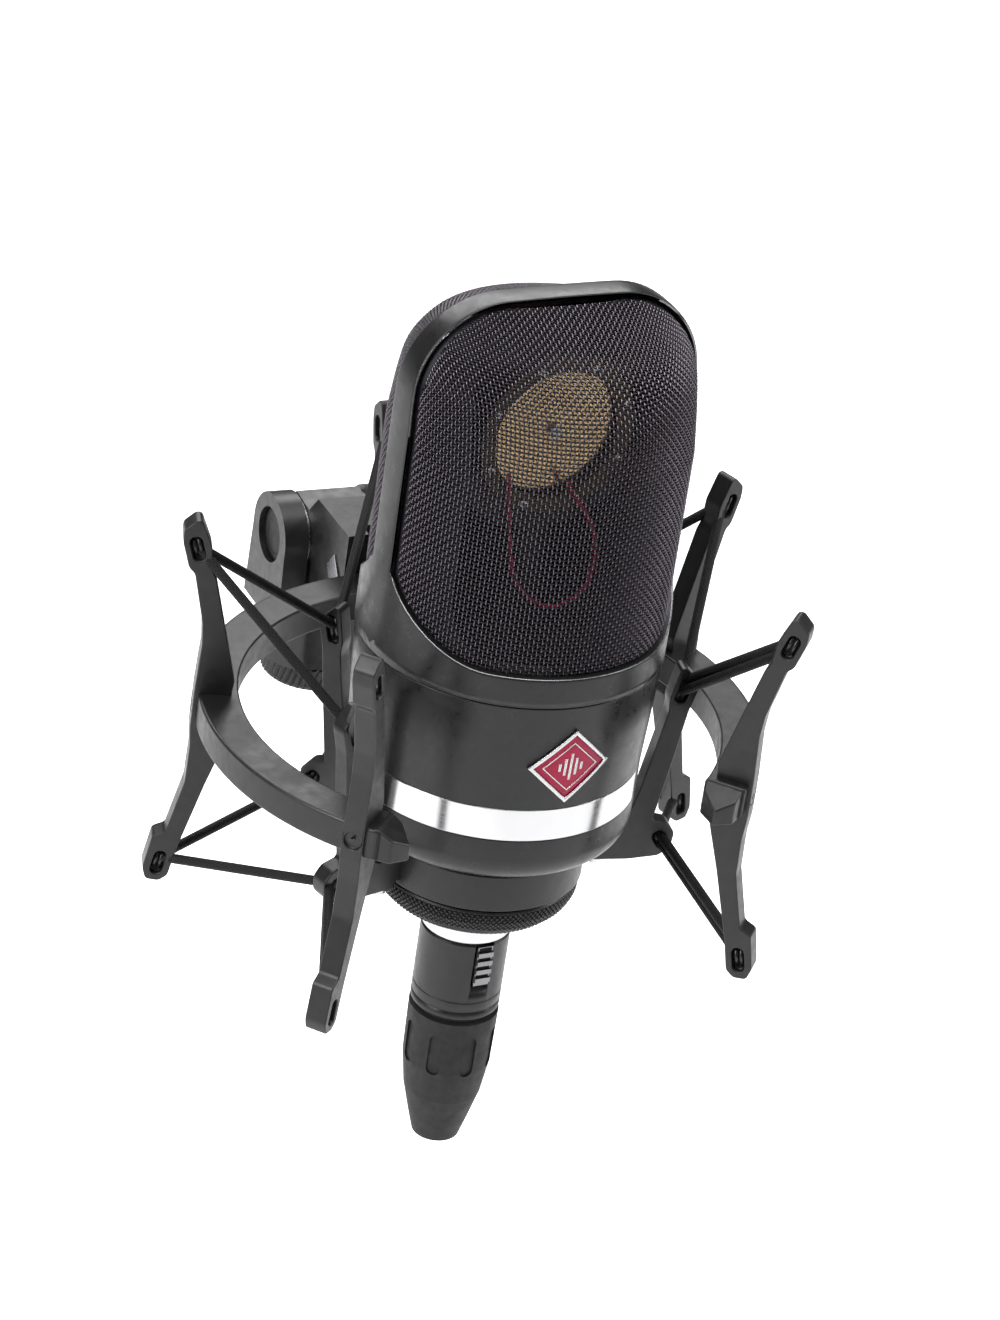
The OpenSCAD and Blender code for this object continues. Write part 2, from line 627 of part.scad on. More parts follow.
module plug_boot() color([0.1, 0.1, 0.105]) mic_frame() difference() {
    rotate_extrude() polygon([
        [6.4, plug_low_z - 0.1], [plug_r - 0.9, plug_low_z - 0.1], [plug_r - 0.9, plug_low_z - 1],
        [plug_r + 0.1, plug_low_z - 1.4], [plug_r - 0.1, -104], [plug_r - 1.2, -112], [6.6, -119],
        [5.2, boot_low_z], [cable_r, boot_low_z], [cable_r, -104.5], [6.4, -104.5]
    ]);
    for (i = [0 : 7]) rotate([0, 0, i * 45]) translate([0, -plug_r - 0.1, 0]) {
        for (z = [-103, -96]) translate([0, 0, z]) rotate([90, 0, 0])
            cylinder(r = 1.5, h = 1.4, center = true, $fn = 24);
        translate([-1.5, -0.7, -103]) cube([3, 1.4, 7]);
    }
}

head_frame();
front_grille();
rear_grille();
capsule_body();
backplate();
front_diaphragm();
rear_diaphragm();
capsule_clamp_rings();
capsule_screws();
capsule_saddle();
capsule_leads();
capsule_base();
body_shell();
chrome_band();
bottom_cap();
chassis_rails();
main_board();
board_components();
switch_board();
badge_frame();
badge_enamel();
nav_bezel();
nav_gimbal();
nav_switch();
indicator_windows();
xlr_shell();
xlr_insert();
xlr_pins();
cage_ring();
cage_arm_right_front();
cage_arm_right_rear();
cage_arm_left_rear();
cage_arm_left_front();
arm_screws();
nut_washer();
clamp_nut();
upper_elastic();
lower_elastic();
outer_ring();
strut_right_front();
strut_right();
strut_rear();
strut_left();
strut_left_front();
strut_screws();
swivel_tongue();
tongue_screws();
swivel_fork();
pivot_bolt();
friction_washers();
tilt_knob();
thread_insert();
lock_ring();
plug_shell();
plug_latch();
plug_insert();
plug_contacts();
plug_chuck();
plug_boot();
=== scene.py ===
import math

import bmesh
import bpy
import numpy as np
from mathutils import Matrix, Vector


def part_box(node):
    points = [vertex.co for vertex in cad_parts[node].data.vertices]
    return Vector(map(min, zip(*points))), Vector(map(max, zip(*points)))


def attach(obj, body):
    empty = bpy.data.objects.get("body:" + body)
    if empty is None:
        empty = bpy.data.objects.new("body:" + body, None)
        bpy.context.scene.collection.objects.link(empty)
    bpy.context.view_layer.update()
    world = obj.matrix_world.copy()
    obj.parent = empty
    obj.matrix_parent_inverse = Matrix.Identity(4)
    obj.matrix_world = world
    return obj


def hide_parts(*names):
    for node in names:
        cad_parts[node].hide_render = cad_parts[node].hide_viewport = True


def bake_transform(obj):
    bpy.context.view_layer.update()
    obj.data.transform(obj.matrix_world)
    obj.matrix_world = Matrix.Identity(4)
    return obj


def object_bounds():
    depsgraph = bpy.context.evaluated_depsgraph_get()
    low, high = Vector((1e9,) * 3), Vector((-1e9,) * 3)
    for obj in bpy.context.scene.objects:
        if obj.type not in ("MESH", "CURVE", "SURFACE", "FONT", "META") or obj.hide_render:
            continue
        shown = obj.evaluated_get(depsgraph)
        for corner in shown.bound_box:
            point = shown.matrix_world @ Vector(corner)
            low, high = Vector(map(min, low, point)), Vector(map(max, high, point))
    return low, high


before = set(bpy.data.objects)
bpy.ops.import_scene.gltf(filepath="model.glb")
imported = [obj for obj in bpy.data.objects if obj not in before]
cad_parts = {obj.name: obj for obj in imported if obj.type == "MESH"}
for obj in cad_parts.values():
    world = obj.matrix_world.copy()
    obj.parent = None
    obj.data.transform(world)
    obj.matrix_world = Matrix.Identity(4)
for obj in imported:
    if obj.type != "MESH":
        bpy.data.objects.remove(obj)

scene = bpy.context.scene
cad_low, cad_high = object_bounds()

# ---- frame of reference
# Shapes below are in millimetres in the microphone's own frame: the origin is on its axis
# at the seam under the head, +Z is up and -Y is its front. BASE is that point in the row frame.
MM = 0.001
head_low, head_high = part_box("head_frame")
BASE = np.array([(head_low[0] + head_high[0]) / 2, (head_low[1] + head_high[1]) / 2, head_low[2]])
MIC_R = (head_high[0] - head_low[0]) / 2 / MM
HEAD_TOP = (head_high[2] - head_low[2]) / MM


def local_box(node):
    low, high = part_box(node)
    return (np.array(low) - BASE) / MM, (np.array(high) - BASE) / MM


def row_point(p):
    return tuple(BASE + np.asarray(p, float) * MM)


SWAY = math.radians(-2.8)      # the suspension hangs turned about the stand by this much
STAND_Y = -BASE[1] / MM


def swayed(verts):
    """Points drawn in line with the microphone, turned with the suspension about the stand."""
    v = np.atleast_2d(np.asarray(verts, float))
    c, s = math.cos(SWAY), math.sin(SWAY)
    x, y = v[:, 0], v[:, 1] - STAND_Y
    out = np.column_stack([x * c - y * s, x * s + y * c + STAND_Y, v[:, 2]])
    return out if np.ndim(verts) == 2 else out[0]


band_low, band_high = local_box("chrome_band")
cap_low = local_box("bottom_cap")[0]
cage_low, cage_high = local_box("cage_ring")
nut_low, nut_high = local_box("clamp_nut")
plug_low = local_box("plug_shell")[0]
RING_LOW, RING_TOP = (corner[2] for corner in local_box("outer_ring"))
RING_Z = (RING_LOW + RING_TOP) / 2

STRUTS = {"strut_right_front": 48, "strut_right": 107, "strut_rear": 180,
          "strut_left": -107, "strut_left_front": -48}
ARMS = {"cage_arm_right_front": 77.5, "cage_arm_right_rear": 143.5,
        "cage_arm_left_rear": -143.5, "cage_arm_left_front": -77.5}
STRUT_ANGLES = list(STRUTS.values())
ARM_ANGLES = list(ARMS.values())
SPANS = [(0, 0), (1, 0), (1, 1), (2, 1), (2, 2), (3, 2), (3, 3), (4, 3)]


def polar(r, a, z):
    a = math.radians(a)
    return np.array([r * math.sin(a), -r * math.cos(a), z])


def turned(verts, a):
    """Points drawn towards the front, turned to an angle from the front."""
    v = np.asarray(verts, float)
    c, s = math.cos(math.radians(a)), math.sin(math.radians(a))
    return np.column_stack([v[:, 0] * c - v[:, 1] * s, v[:, 0] * s + v[:, 1] * c, v[:, 2]])


# ---- materials
class Tree:
    """The nodes of a new material, or of the holder that is handed in."""
    def __init__(self, name, holder=None):
        self.m = holder or bpy.data.materials.new(name)
        self.m.use_nodes = True
        self.t = self.m.node_tree
        self.bsdf = self.t.nodes.get("Principled BSDF")

    def node(self, kind, **values):
        n = self.t.nodes.new(kind)
        for k, v in values.items():
            setattr(n, k, v)
        return n

    def link(self, a, b):
        self.t.links.new(a, b)

    def feed(self, sock, val):
        if hasattr(val, "links"):
            self.link(val, sock)
        else:
            sock.default_value = val if isinstance(val, (int, float)) else (*val, 1)

    def coords(self, scale=(1, 1, 1)):
        m = self.node("ShaderNodeMapping")
        m.inputs["Scale"].default_value = scale
        self.link(self.node("ShaderNodeTexCoord").outputs["Object"], m.inputs["Vector"])
        return m.outputs["Vector"]

    def noise(self, scale, detail=3.0, rough=0.55, vector=None):
        n = self.node("ShaderNodeTexNoise")
        n.inputs["Scale"].default_value = scale
        n.inputs["Detail"].default_value = detail
        n.inputs["Roughness"].default_value = rough
        self.link(self.coords() if vector is None else vector, n.inputs["Vector"])
        return n.outputs["Fac"]

    def ramp(self, fac, stops):
        r = self.node("ShaderNodeValToRGB")
        e = r.color_ramp.elements
        while len(e) < len(stops):
            e.new(0.5)
        for i, (at, col) in enumerate(stops):
            e[i].position = at
            e[i].color = (col, col, col, 1) if isinstance(col, (int, float)) else (*col, 1)
        self.link(fac, r.inputs["Fac"])
        return r.outputs["Color"]

    def mix(self, fac, a, b, mode="MIX"):
        n = self.node("ShaderNodeMix", data_type="RGBA", blend_type=mode)
        for name, val in (("Factor", fac), ("A", a), ("B", b)):
            self.feed(n.inputs[name], val)
        return n.outputs["Result"]

    def math(self, op, a, b=0.0):
        n = self.node("ShaderNodeMath", operation=op)
        self.feed(n.inputs[0], a)
        self.feed(n.inputs[1], b)
        return n.outputs[0]

    def bump(self, height, strength, distance):
        n = self.node("ShaderNodeBump")
        n.inputs["Strength"].default_value = strength
        n.inputs["Distance"].default_value = distance
        self.link(height, n.inputs["Height"])
        self.link(n.outputs["Normal"], self.bsdf.inputs["Normal"])

    def set(self, **values):
        for k, v in values.items():
            self.feed(self.bsdf.inputs[k.replace("_", " ")], v)


def painted(name, base, rough, spec=0.5, metal=0.0, grain=2600, grain_depth=0.12, wear=0.35,
            spread=0.08):
    """Fine-grained paint or anodising: grain, faint mottling and edges rubbed brighter."""
    t = Tree(name)
    fine = t.noise(grain, 2.0, 0.6)
    broad = t.noise(60, 3.0, 0.6)
    dark = tuple(c * 0.82 for c in base)
    light = tuple(min(1, c * 1.18 + 0.002) for c in base)
    body = t.mix(broad, dark, light)
    speck = t.ramp(fine, [(0.35, 0.88), (0.75, 1.12)])
    body = t.mix(1.0, body, speck, "MULTIPLY")
    geo = t.node("ShaderNodeNewGeometry")
    edge = t.ramp(geo.outputs["Pointiness"], [(0.52, 0.0), (0.6, 1.0)])
    worn = t.math("MULTIPLY", edge, t.ramp(t.noise(260, 3.0), [(0.4, 0.0), (0.62, wear)]))
    body = t.mix(worn, body, tuple(min(1, c * 2.6 + 0.03) for c in base))
    r = t.ramp(t.noise(420, 4.0, 0.65), [(0.3, max(0.02, rough - spread)), (0.7, rough + spread)])
    t.bump(fine, grain_depth, 0.00004)
    t.set(Base_Color=body, Roughness=r, Metallic=metal, Specular_IOR_Level=spec)
    return t.m


def brushed(name, base, rough, scale=(60, 60, 9000), depth=0.06, tint=0.06):
    """Metal brushed along one direction: streaks in roughness, colour and height."""
    t = Tree(name)
    streak = t.noise(1.0, 3.0, 0.6, t.coords(scale))
    r = t.ramp(streak, [(0.3, max(0.02, rough * 0.7)), (0.7, rough * 1.35)])
    body = t.mix(streak, tuple(c * (1 - tint) for c in base), base)
    smear = t.ramp(t.noise(90, 3.0), [(0.35, 0.93), (0.7, 1.0)])
    t.bump(streak, depth, 0.00003)
    t.set(Base_Color=t.mix(1.0, body, smear, "MULTIPLY"), Roughness=r, Metallic=1.0)
    return t.m


def braided(name, base, strands=8, lean=5.2):
    """Elastic cord: a tight over-and-under braid that runs round the strand."""
    t = Tree(name)
    sep = t.node("ShaderNodeSeparateXYZ")
    t.link(t.node("ShaderNodeTexCoord").outputs["UV"], sep.inputs[0])
    around = t.math("MULTIPLY", sep.outputs[0], strands * 2 * math.pi)
    along = t.math("MULTIPLY", sep.outputs[1], lean)
    weave = t.math("MAXIMUM", t.math("SINE", t.math("ADD", around, along)),
                   t.math("SINE", t.math("SUBTRACT", around, along)))
    fuzz = t.noise(5000, 2.0)
    h = t.math("ADD", t.math("MULTIPLY", weave, 0.5), t.math("MULTIPLY", fuzz, 0.5))
    # the colour follows the braid's height: darker in its hollows as painted shade, lighter on its
    # crowns as painted highlight
    shade = t.ramp(h, [(0.0, tuple(c * 0.45 for c in base)), (0.9, tuple(c * 1.6 for c in base))])
    t.bump(h, 0.5, 0.00012)
    t.set(Base_Color=shade, Roughness=t.ramp(fuzz, [(0.3, 0.5), (0.7, 0.72)]),
          Specular_IOR_Level=0.22, Sheen_Weight=0.02)
    return t.m


def enamel(name, base):
    """Fired enamel: glassy over a red ground that is finely grained and uneven in depth."""
    t = Tree(name)
    ground = t.noise(1500, 4.0, 0.7)
    pool = t.noise(220, 2.0)
    body = t.mix(ground, tuple(c * 0.72 for c in base), tuple(min(1, c * 1.12) for c in base))
    body = t.mix(t.math("MULTIPLY", pool, 0.35), body, tuple(c * 0.6 for c in base))
    t.bump(pool, 0.15, 0.00008)
    t.set(Base_Color=body, Roughness=t.ramp(pool, [(0.3, 0.14), (0.7, 0.26)]),
          Coat_Weight=0.05, Coat_Roughness=0.1, Specular_IOR_Level=0.25)
    return t.m


# name, colour, roughness, specular, metallic, grain scale and depth, wear, roughness spread
PAINTS = {
    "satin": ("satin_black", (0.009, 0.009, 0.0095), 0.33, 0.5, 0.2, 2600, 0.06, 0.05),
    "ring": ("ring_black", (0.010, 0.010, 0.0105), 0.37, 0.5, 0.2),
    "swivel": ("swivel_black", (0.006, 0.006, 0.0065), 0.38, 0.5, 0.0, 1800, 0.25),
    "wire": ("mesh_wire", (0.135, 0.120, 0.140), 0.25, 0.6, 0.9, 5000, 0.1, 0.0),
    # the level wires take a darker copy of the wire colour as painted shade; the upright wires keep
    # the lighter, lit copy
    "wire_shaded": ("mesh_cross_wire_painted_shade", (0.022, 0.019, 0.024), 0.34, 0.4, 0.5, 5000, 0.1, 0.0),
    "gauze": ("dark_gauze", (0.010, 0.009, 0.012), 0.6, 0.3, 0.0, 3000, 0.4, 0.0),
    "gold": ("gold_foil", (0.95, 0.62, 0.31), 0.17, 0.5, 1.0, 900, 1.0, 0.0, 0.07),
    "rubber": ("boot_rubber", (0.008, 0.008, 0.0085), 0.62, 0.35, 0.0, 1500, 0.35, 0.15),
    "plastic": ("black_plastic", (0.018, 0.018, 0.019), 0.5, 0.45, 0.0, 2200, 0.2, 0.1),
    "dark": ("inner_black", (0.006, 0.006, 0.006), 0.8, 0.2, 0.0, 1200, 0.2, 0.0),
    "lead": ("lead_sleeve", (0.50, 0.015, 0.07), 0.45, 0.5, 0.0, 3000, 0.1, 0.0),
    "board": ("board_lacquer", (0.02, 0.13, 0.05), 0.35, 0.5, 0.0, 1200, 0.1, 0.0),
    "window": ("window_lens", (0.30, 0.33, 0.30), 0.18, 0.6, 0.0, 900, 0.02, 0.0),
    "loop": ("loop_cord", (0.006, 0.006, 0.0065), 0.3, 0.5, 0.0, 4000, 0.3, 0.0),
    "steel_dark": ("blackened_steel", (0.045, 0.045, 0.047), 0.34, 0.6, 0.7, 3000, 0.15, 0.2),
    # the pivot's cap: its own black made darker still, as painted shade of the recess it sits in
    "cap": ("cap_black_painted_shade", (0.003, 0.003, 0.003), 0.5, 0.3, 0.0, 2000, 0.2, 0.0),
}
# name, colour, roughness, noise scale along each axis, depth of the streaks
METALS = {
    "latch": ("latch_metal", (0.26, 0.26, 0.27), 0.34, (1800, 1800, 400), 0.12),
    "chrome": ("chrome_band_metal", (0.66, 0.66, 0.67), 0.16),
    "steel": ("steel", (0.62, 0.62, 0.63), 0.28, (2500, 2500, 300), 0.1),
    "lip": ("polished_lip", (0.26, 0.26, 0.27), 0.3, (900, 900, 4000), 0.05),
    # brass darkened to stand for the shade behind the grille: painted shade on the capsule's body
    # and clamp rings
    "brass_in_shade": ("brass_painted_shade", (0.10, 0.075, 0.045), 0.4, (1500, 400, 1500), 0.12),
    "brass": ("brass", (0.70, 0.52, 0.24), 0.3, (60, 60, 5000), 0.1),
    "silver": ("badge_silver", (0.60, 0.60, 0.61), 0.24, (1400, 1400, 1400), 0.08),
}
M = {key: painted(*row) for key, row in PAINTS.items()}
M.update({key: brushed(*row) for key, row in METALS.items()})
M["cord"] = braided("elastic_braid", (0.006, 0.006, 0.0065))
M["enamel"] = enamel("red_enamel", (0.42, 0.004, 0.050))


# ---- mesh helpers
def piece(name, verts, faces, mat, smooth=True, uvs=None):
    me = bpy.data.meshes.new(name)
    me.from_pydata((np.asarray(verts, float) * MM + BASE).tolist(), [], faces)
    me.materials.append(M[mat])
    if uvs is not None:
        layer = me.uv_layers.new(name="UVMap")
        layer.data.foreach_set("uv", np.asarray(uvs, np.float32).ravel())
    me.validate()
    me.update()
    o = bpy.data.objects.new(name, me)
    scene.collection.objects.link(o)
    if smooth:
        me.shade_smooth()
    return o


def baked(o):
    """Applies the object's modifiers to its mesh."""
    bpy.context.view_layer.update()
    dg = bpy.context.evaluated_depsgraph_get()
    me = bpy.data.meshes.new_from_object(o.evaluated_get(dg))
    old = o.data
    o.modifiers.clear()
    o.data = me
    bpy.data.meshes.remove(old)
    me.name = o.name
    return o


def carve(o, cutters, op="DIFFERENCE"):
    for c in cutters:
        m = o.modifiers.new("cut", "BOOLEAN")
        m.operation, m.object, m.solver = op, c, "EXACT"
    baked(o)
    for c in cutters:
        bpy.data.objects.remove(c)
    return o


def weighted(o, weight=80):
    """Shades the piece smooth and keeps its large faces flat."""
    o.data.shade_smooth()
    m = o.modifiers.new("normals", "WEIGHTED_NORMAL")
    m.keep_sharp, m.weight = False, weight
    return o


def soften(o, width, segments=3, angle=32):
    """Rounds the edges and keeps the flats flat."""
    m = o.modifiers.new("edges", "BEVEL")
    m.width, m.segments, m.limit_method = width * MM, segments, "ANGLE"
    m.angle_limit, m.miter_outer = math.radians(angle), "MITER_ARC"
    return weighted(baked(o))


def capped(n):
    """The faces of two rings of n points, joined and closed at both ends."""
    sides = [[i, (i + 1) % n, n + (i + 1) % n, n + i] for i in range(n)]
    return sides + [list(range(n))[::-1], list(range(n, 2 * n))]


def prism(points, lo, hi, axis="x"):
    """A closed prism along x from (forward, z) points, or along z from (x, y) points."""
    if axis == "x":
        verts = [(h, -a, b) for h in (lo, hi) for a, b in points]
    else:
        verts = [(a, b, h) for h in (lo, hi) for a, b in points]
    return verts, capped(len(points))


def fixed(o):
    """Makes the faces point outwards."""
    bm = bmesh.new()
    bm.from_mesh(o.data)
    bmesh.ops.remove_doubles(bm, verts=bm.verts, dist=1e-7)
    bmesh.ops.recalc_face_normals(bm, faces=bm.faces)
    bm.to_mesh(o.data)
    bm.free()
    return o


def blank(name, verts, faces, mat):
    return fixed(piece(name, verts, faces, mat, smooth=False))


def finish_piece(o, body, replaces=()):
    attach(o, body)
    if replaces:
        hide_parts(*replaces)
    return o


def add_part(verts, faces, v, f):
    """Adds one more closed shape to a list of points and faces."""
    base = len(verts)
    verts += list(v)
    faces += [[i + base for i in face] for face in f]


def circle(u, w, r, sides):
    return [r * (math.cos(a) * u + math.sin(a) * w)
            for a in (2 * math.pi * k / sides for k in range(sides))]


def rod(p, q, r, sides=32):
    p, q = np.asarray(p, float), np.asarray(q, float)
    d = (q - p) / np.linalg.norm(q - p)
    u = np.cross(d, [0, 0, 1] if abs(d[2]) < 0.9 else [1, 0, 0])
    u /= np.linalg.norm(u)
    w = np.cross(d, u)
    return [end + c for end in (p, q) for c in circle(u, w, r, sides)], capped(sides)


def same(v):
    return v


def cutter(v, f, place=same):
    return blank("cutter", place(v), f, "dark")


def round_cut(p, q, r, sides=40, place=same):
    return cutter(*rod(p, q, r, sides), place)


def slot_prism(centre, half_len, r, x0, x1, tilt, n=10):
    """A long round-ended outline around a (forward, z) point, as a prism through a plate."""
    c, s = math.cos(tilt), math.sin(tilt)
    pts = []
    for side, base in ((1, 0), (-1, math.pi)):
        for k in range(n + 1):
            t = base + math.pi * k / n
            x, z = r * math.cos(t), r * math.sin(t) + side * half_len
            pts.append((centre[0] + x * c - z * s, centre[1] + x * s + z * c))
    return prism(pts, x0, x1)


def swept(steps, count, m):
    """Quads between neighbouring closed profiles of m points each."""
    faces = []
    for i in range(steps):
        j = (i + 1) % count
        for k in range(m):
            l = (k + 1) % m
            faces.append([i * m + k, i * m + l, j * m + l, j * m + k])
    return faces


def lathe(profile, steps=192, a0=0.0, a1=360.0):
    """A profile of (r, z) points turned about the axis, angles from the front."""
    whole = abs(a1 - a0) >= 360
    count = steps if whole else steps + 1
    ang = np.radians(a0 + (a1 - a0) * np.arange(count) / steps)
    prof = np.asarray(profile, float)
    verts = np.stack([prof[None, :, 0] * np.sin(ang)[:, None],
                      -prof[None, :, 0] * np.cos(ang)[:, None],
                      np.repeat(prof[None, :, 1], count, 0)], -1).reshape(-1, 3)
    m = len(prof)
    faces = swept(steps, count, m)
    if not whole:
        faces += [list(range(m)), [(count - 1) * m + k for k in range(m)][::-1]]
    return verts, faces


def bent(t, a, b, c):
    """A point on the curve from a to c that is pulled towards b."""
    return (1 - t) ** 2 * a + 2 * t * (1 - t) * b + t * t * c


def fillet(profile, radii, n=4):
    """A closed outline with its corners rounded, by one radius or by one each."""
    if not hasattr(radii, "__len__"):
        radii = [radii] * len(profile)
    out = []
    m = len(profile)
    for i in range(m):
        p0, p1, p2 = (np.array(profile[(i + k - 1) % m], float) for k in range(3))
        a, b = p0 - p1, p2 - p1
        la, lb = np.linalg.norm(a), np.linalg.norm(b)
        cut = min(radii[i], la * 0.45, lb * 0.45)
        if cut < 1e-4:
            out.append(tuple(p1))
            continue
        s, e = p1 + a / la * cut, p1 + b / lb * cut
        out += [tuple(bent(k / n, s, p1, e)) for k in range(n + 1)]
    return out


def turned_piece(name, profile, radii, mat, body, replaces=(), steps=192):
    v, f = lathe(fillet(profile, radii), steps)
    return finish_piece(weighted(blank(name, v, f, mat)), body, replaces)


def knurled(name, profile, closed, teeth, depth, pitch, steps, sub, cross):
    """The piece of that node, turned, with a diamond or slanted knurl between the profile's
    first and last point. closed are the profile points that close the solid behind it."""
    prof = [np.array(profile[0], float)]
    for a, b in zip(profile[:-1], profile[1:]):
        a, b = np.array(a, float), np.array(b, float)
        n = max(1, int(np.linalg.norm(b - a) / sub))
        prof += [a + (b - a) * k / n for k in range(1, n + 1)]
    prof = np.array(prof)
    seg = np.linalg.norm(np.diff(prof, axis=0), axis=1)
    s = np.concatenate([[0], np.cumsum(seg)])
    tan = np.gradient(prof, axis=0)
    tan /= np.linalg.norm(tan, axis=1)[:, None]
    nor = np.column_stack([tan[:, 1], -tan[:, 0]])
    if nor[:, 0].mean() < 0:
        nor = -nor
    th = 2 * math.pi * np.arange(steps) / steps
    T, S = np.meshgrid(th, s, indexing="ij")
    p1 = T * teeth + S * 2 * math.pi / pitch
    p2 = T * teeth - S * 2 * math.pi / pitch
    tri = lambda p: 1 - np.abs(((p / math.pi) % 2) - 1)
    h = np.minimum(tri(p1), tri(p2)) * 2 if cross else tri(p1)
    fade = np.clip(np.minimum(S / 0.35, (s[-1] - S) / 0.35), 0, 1)
    h = depth * (np.clip(h, 0, 0.85) / 0.85 - 1) * fade
    back = np.array(closed, float)
    R = np.hstack([prof[None, :, 0] + nor[None, :, 0] * h, np.tile(back[:, 0], (steps, 1))])
    Z = np.hstack([prof[None, :, 1] + nor[None, :, 1] * h, np.tile(back[:, 1], (steps, 1))])
    th = th[:, None]
    verts = np.stack([R * np.sin(th), -R * np.cos(th), Z], -1)
    o = blank(name + "_knurled", verts.reshape(-1, 3), swept(steps, steps, verts.shape[1]), "ring")
    return finish_piece(o, name, [name])


# ---- head
GRILLE_R = MIC_R - 1.4  # the woven surface at the microphone's sides
BAND = 4.0              # half the arch's thickness at its sides
BAND_TOP_HALF = 3.0     # and over its top
BAND_FROM = 50.0        # the height at which it begins to narrow
COLLAR = 6.2            # the collar's upper edge
TOP_IN = HEAD_TOP - 1.7
LOW_R, HIGH_R, HALF = 12.9, 17.8, MIC_R - 1.7     # the woven area's corners and half width
SIDE = [(GRILLE_R, COLLAR), (GRILLE_R, HEAD_TOP - 12.6), (BAND_TOP_HALF + 0.6, TOP_IN)]
CUT = 12.0              # how far from the shoulder its bend begins


def side_profile():
    """The grille's side view: upright, a round shoulder, then a slope up to the arch."""
    p0, p1, p2 = (np.array(p) for p in SIDE)
    a, b = (p0 - p1) / np.linalg.norm(p0 - p1), (p2 - p1) / np.linalg.norm(p2 - p1)
    s, e = p1 + a * CUT, p1 + b * CUT
    t = np.linspace(0, 1, 40)[:, None]
    return np.concatenate([[p0], bent(t, s, p1, e), [p2]])


PROFILE = side_profile()


def grille_depth(z):
    """How far forward the grille reaches at its middle, at a height."""
    return np.interp(z, PROFILE[:, 1], PROFILE[:, 0])


def half_width(z):
    z = np.asarray(z, float)
    w = np.full(z.shape, math.sqrt(GRILLE_R ** 2 - (BAND + 0.1) ** 2))
    low = np.clip(COLLAR + LOW_R - z, 0, LOW_R)
    w = np.minimum(w, HALF - LOW_R + np.sqrt(LOW_R ** 2 - low ** 2))
    high = np.clip(z - (TOP_IN - HIGH_R), 0, HIGH_R)
    return np.minimum(w, HALF - HIGH_R + np.sqrt(HIGH_R ** 2 - high ** 2))


def grille_y(x, z):
    b = grille_depth(z)
    near = BAND + (BAND_TOP_HALF - BAND) * np.clip((z - BAND_FROM) / (TOP_IN - BAND_FROM), 0, 1)
    w = np.full(np.shape(z), math.sqrt(GRILLE_R ** 2 - BAND ** 2))
    high = np.clip(z - (TOP_IN - HIGH_R), 0, HIGH_R)
    w = np.minimum(w, HALF - HIGH_R + 0.2 + np.sqrt(np.maximum((HIGH_R + 0.2) ** 2 - high ** 2, 0)))
    q = np.clip(1 - (x / w) ** 2, 0, 1) ** (1 + 0.45 * np.clip((z - 46) / 22, 0, 1))
    return -np.sqrt(near ** 2 + (b ** 2 - near ** 2) * q)


def edge_curve():
    """The opening's outline on the grille's surface."""
    zs = np.concatenate([COLLAR + LOW_R * (1 - np.cos(np.linspace(0, math.pi / 2, 30))),
                         np.linspace(COLLAR + LOW_R, TOP_IN - HIGH_R, 30)[1:],
                         TOP_IN - HIGH_R * (1 - np.sin(np.linspace(0, math.pi / 2, 40)))[1:]])
    w = half_width(zs)
    xs = np.concatenate([np.linspace(0, w[0], 20)[:-1], w, np.linspace(w[-1], 0, 14)[1:]])
    zz = np.concatenate([np.full(19, zs[0]), zs, np.full(13, zs[-1])])
    pts = np.column_stack([xs, grille_y(xs, zz), zz])
    return np.concatenate([pts, pts * [-1, 1, 1]])


EDGE = edge_curve()
ROLL, SINK = 1.8, 0.7   # width and depth of the woven surface's rolled border


def grille_surface(x, z):
    """Point and outward normal on the woven surface, rolled inwards at its border."""
    x, z = np.asarray(x, float), np.asarray(z, float)
    e = 0.02
    y = grille_y(x, z)
    dx = (grille_y(x + e, z) - grille_y(x - e, z)) / (2 * e)
    dz = (grille_y(x, z + e) - grille_y(x, z - e)) / (2 * e)
    n = np.stack([dx, -np.ones_like(y), dz], -1)
    n /= np.linalg.norm(n, axis=-1)[..., None]
    p = np.stack([x, y, z], -1)
    flat = p.reshape(-1, 3)
    d = np.empty(len(flat))
    for i in range(0, len(flat), 4000):
        part = flat[i:i + 4000]
        d[i:i + 4000] = np.sqrt(((part[:, None, :] - EDGE[None]) ** 2).sum(-1)).min(1)
    d = d.reshape(y.shape)
    k = np.clip(1 - d / ROLL, 0, 1)
    return p - n * (SINK * k ** 2)[..., None], n


PITCH = 0.87            # between neighbouring wires
WIRE = 0.195            # a wire's radius
CRIMP = 0.25            # how far it swings over and under
REACH = 82.4            # degrees of the woven surface to each side of the front


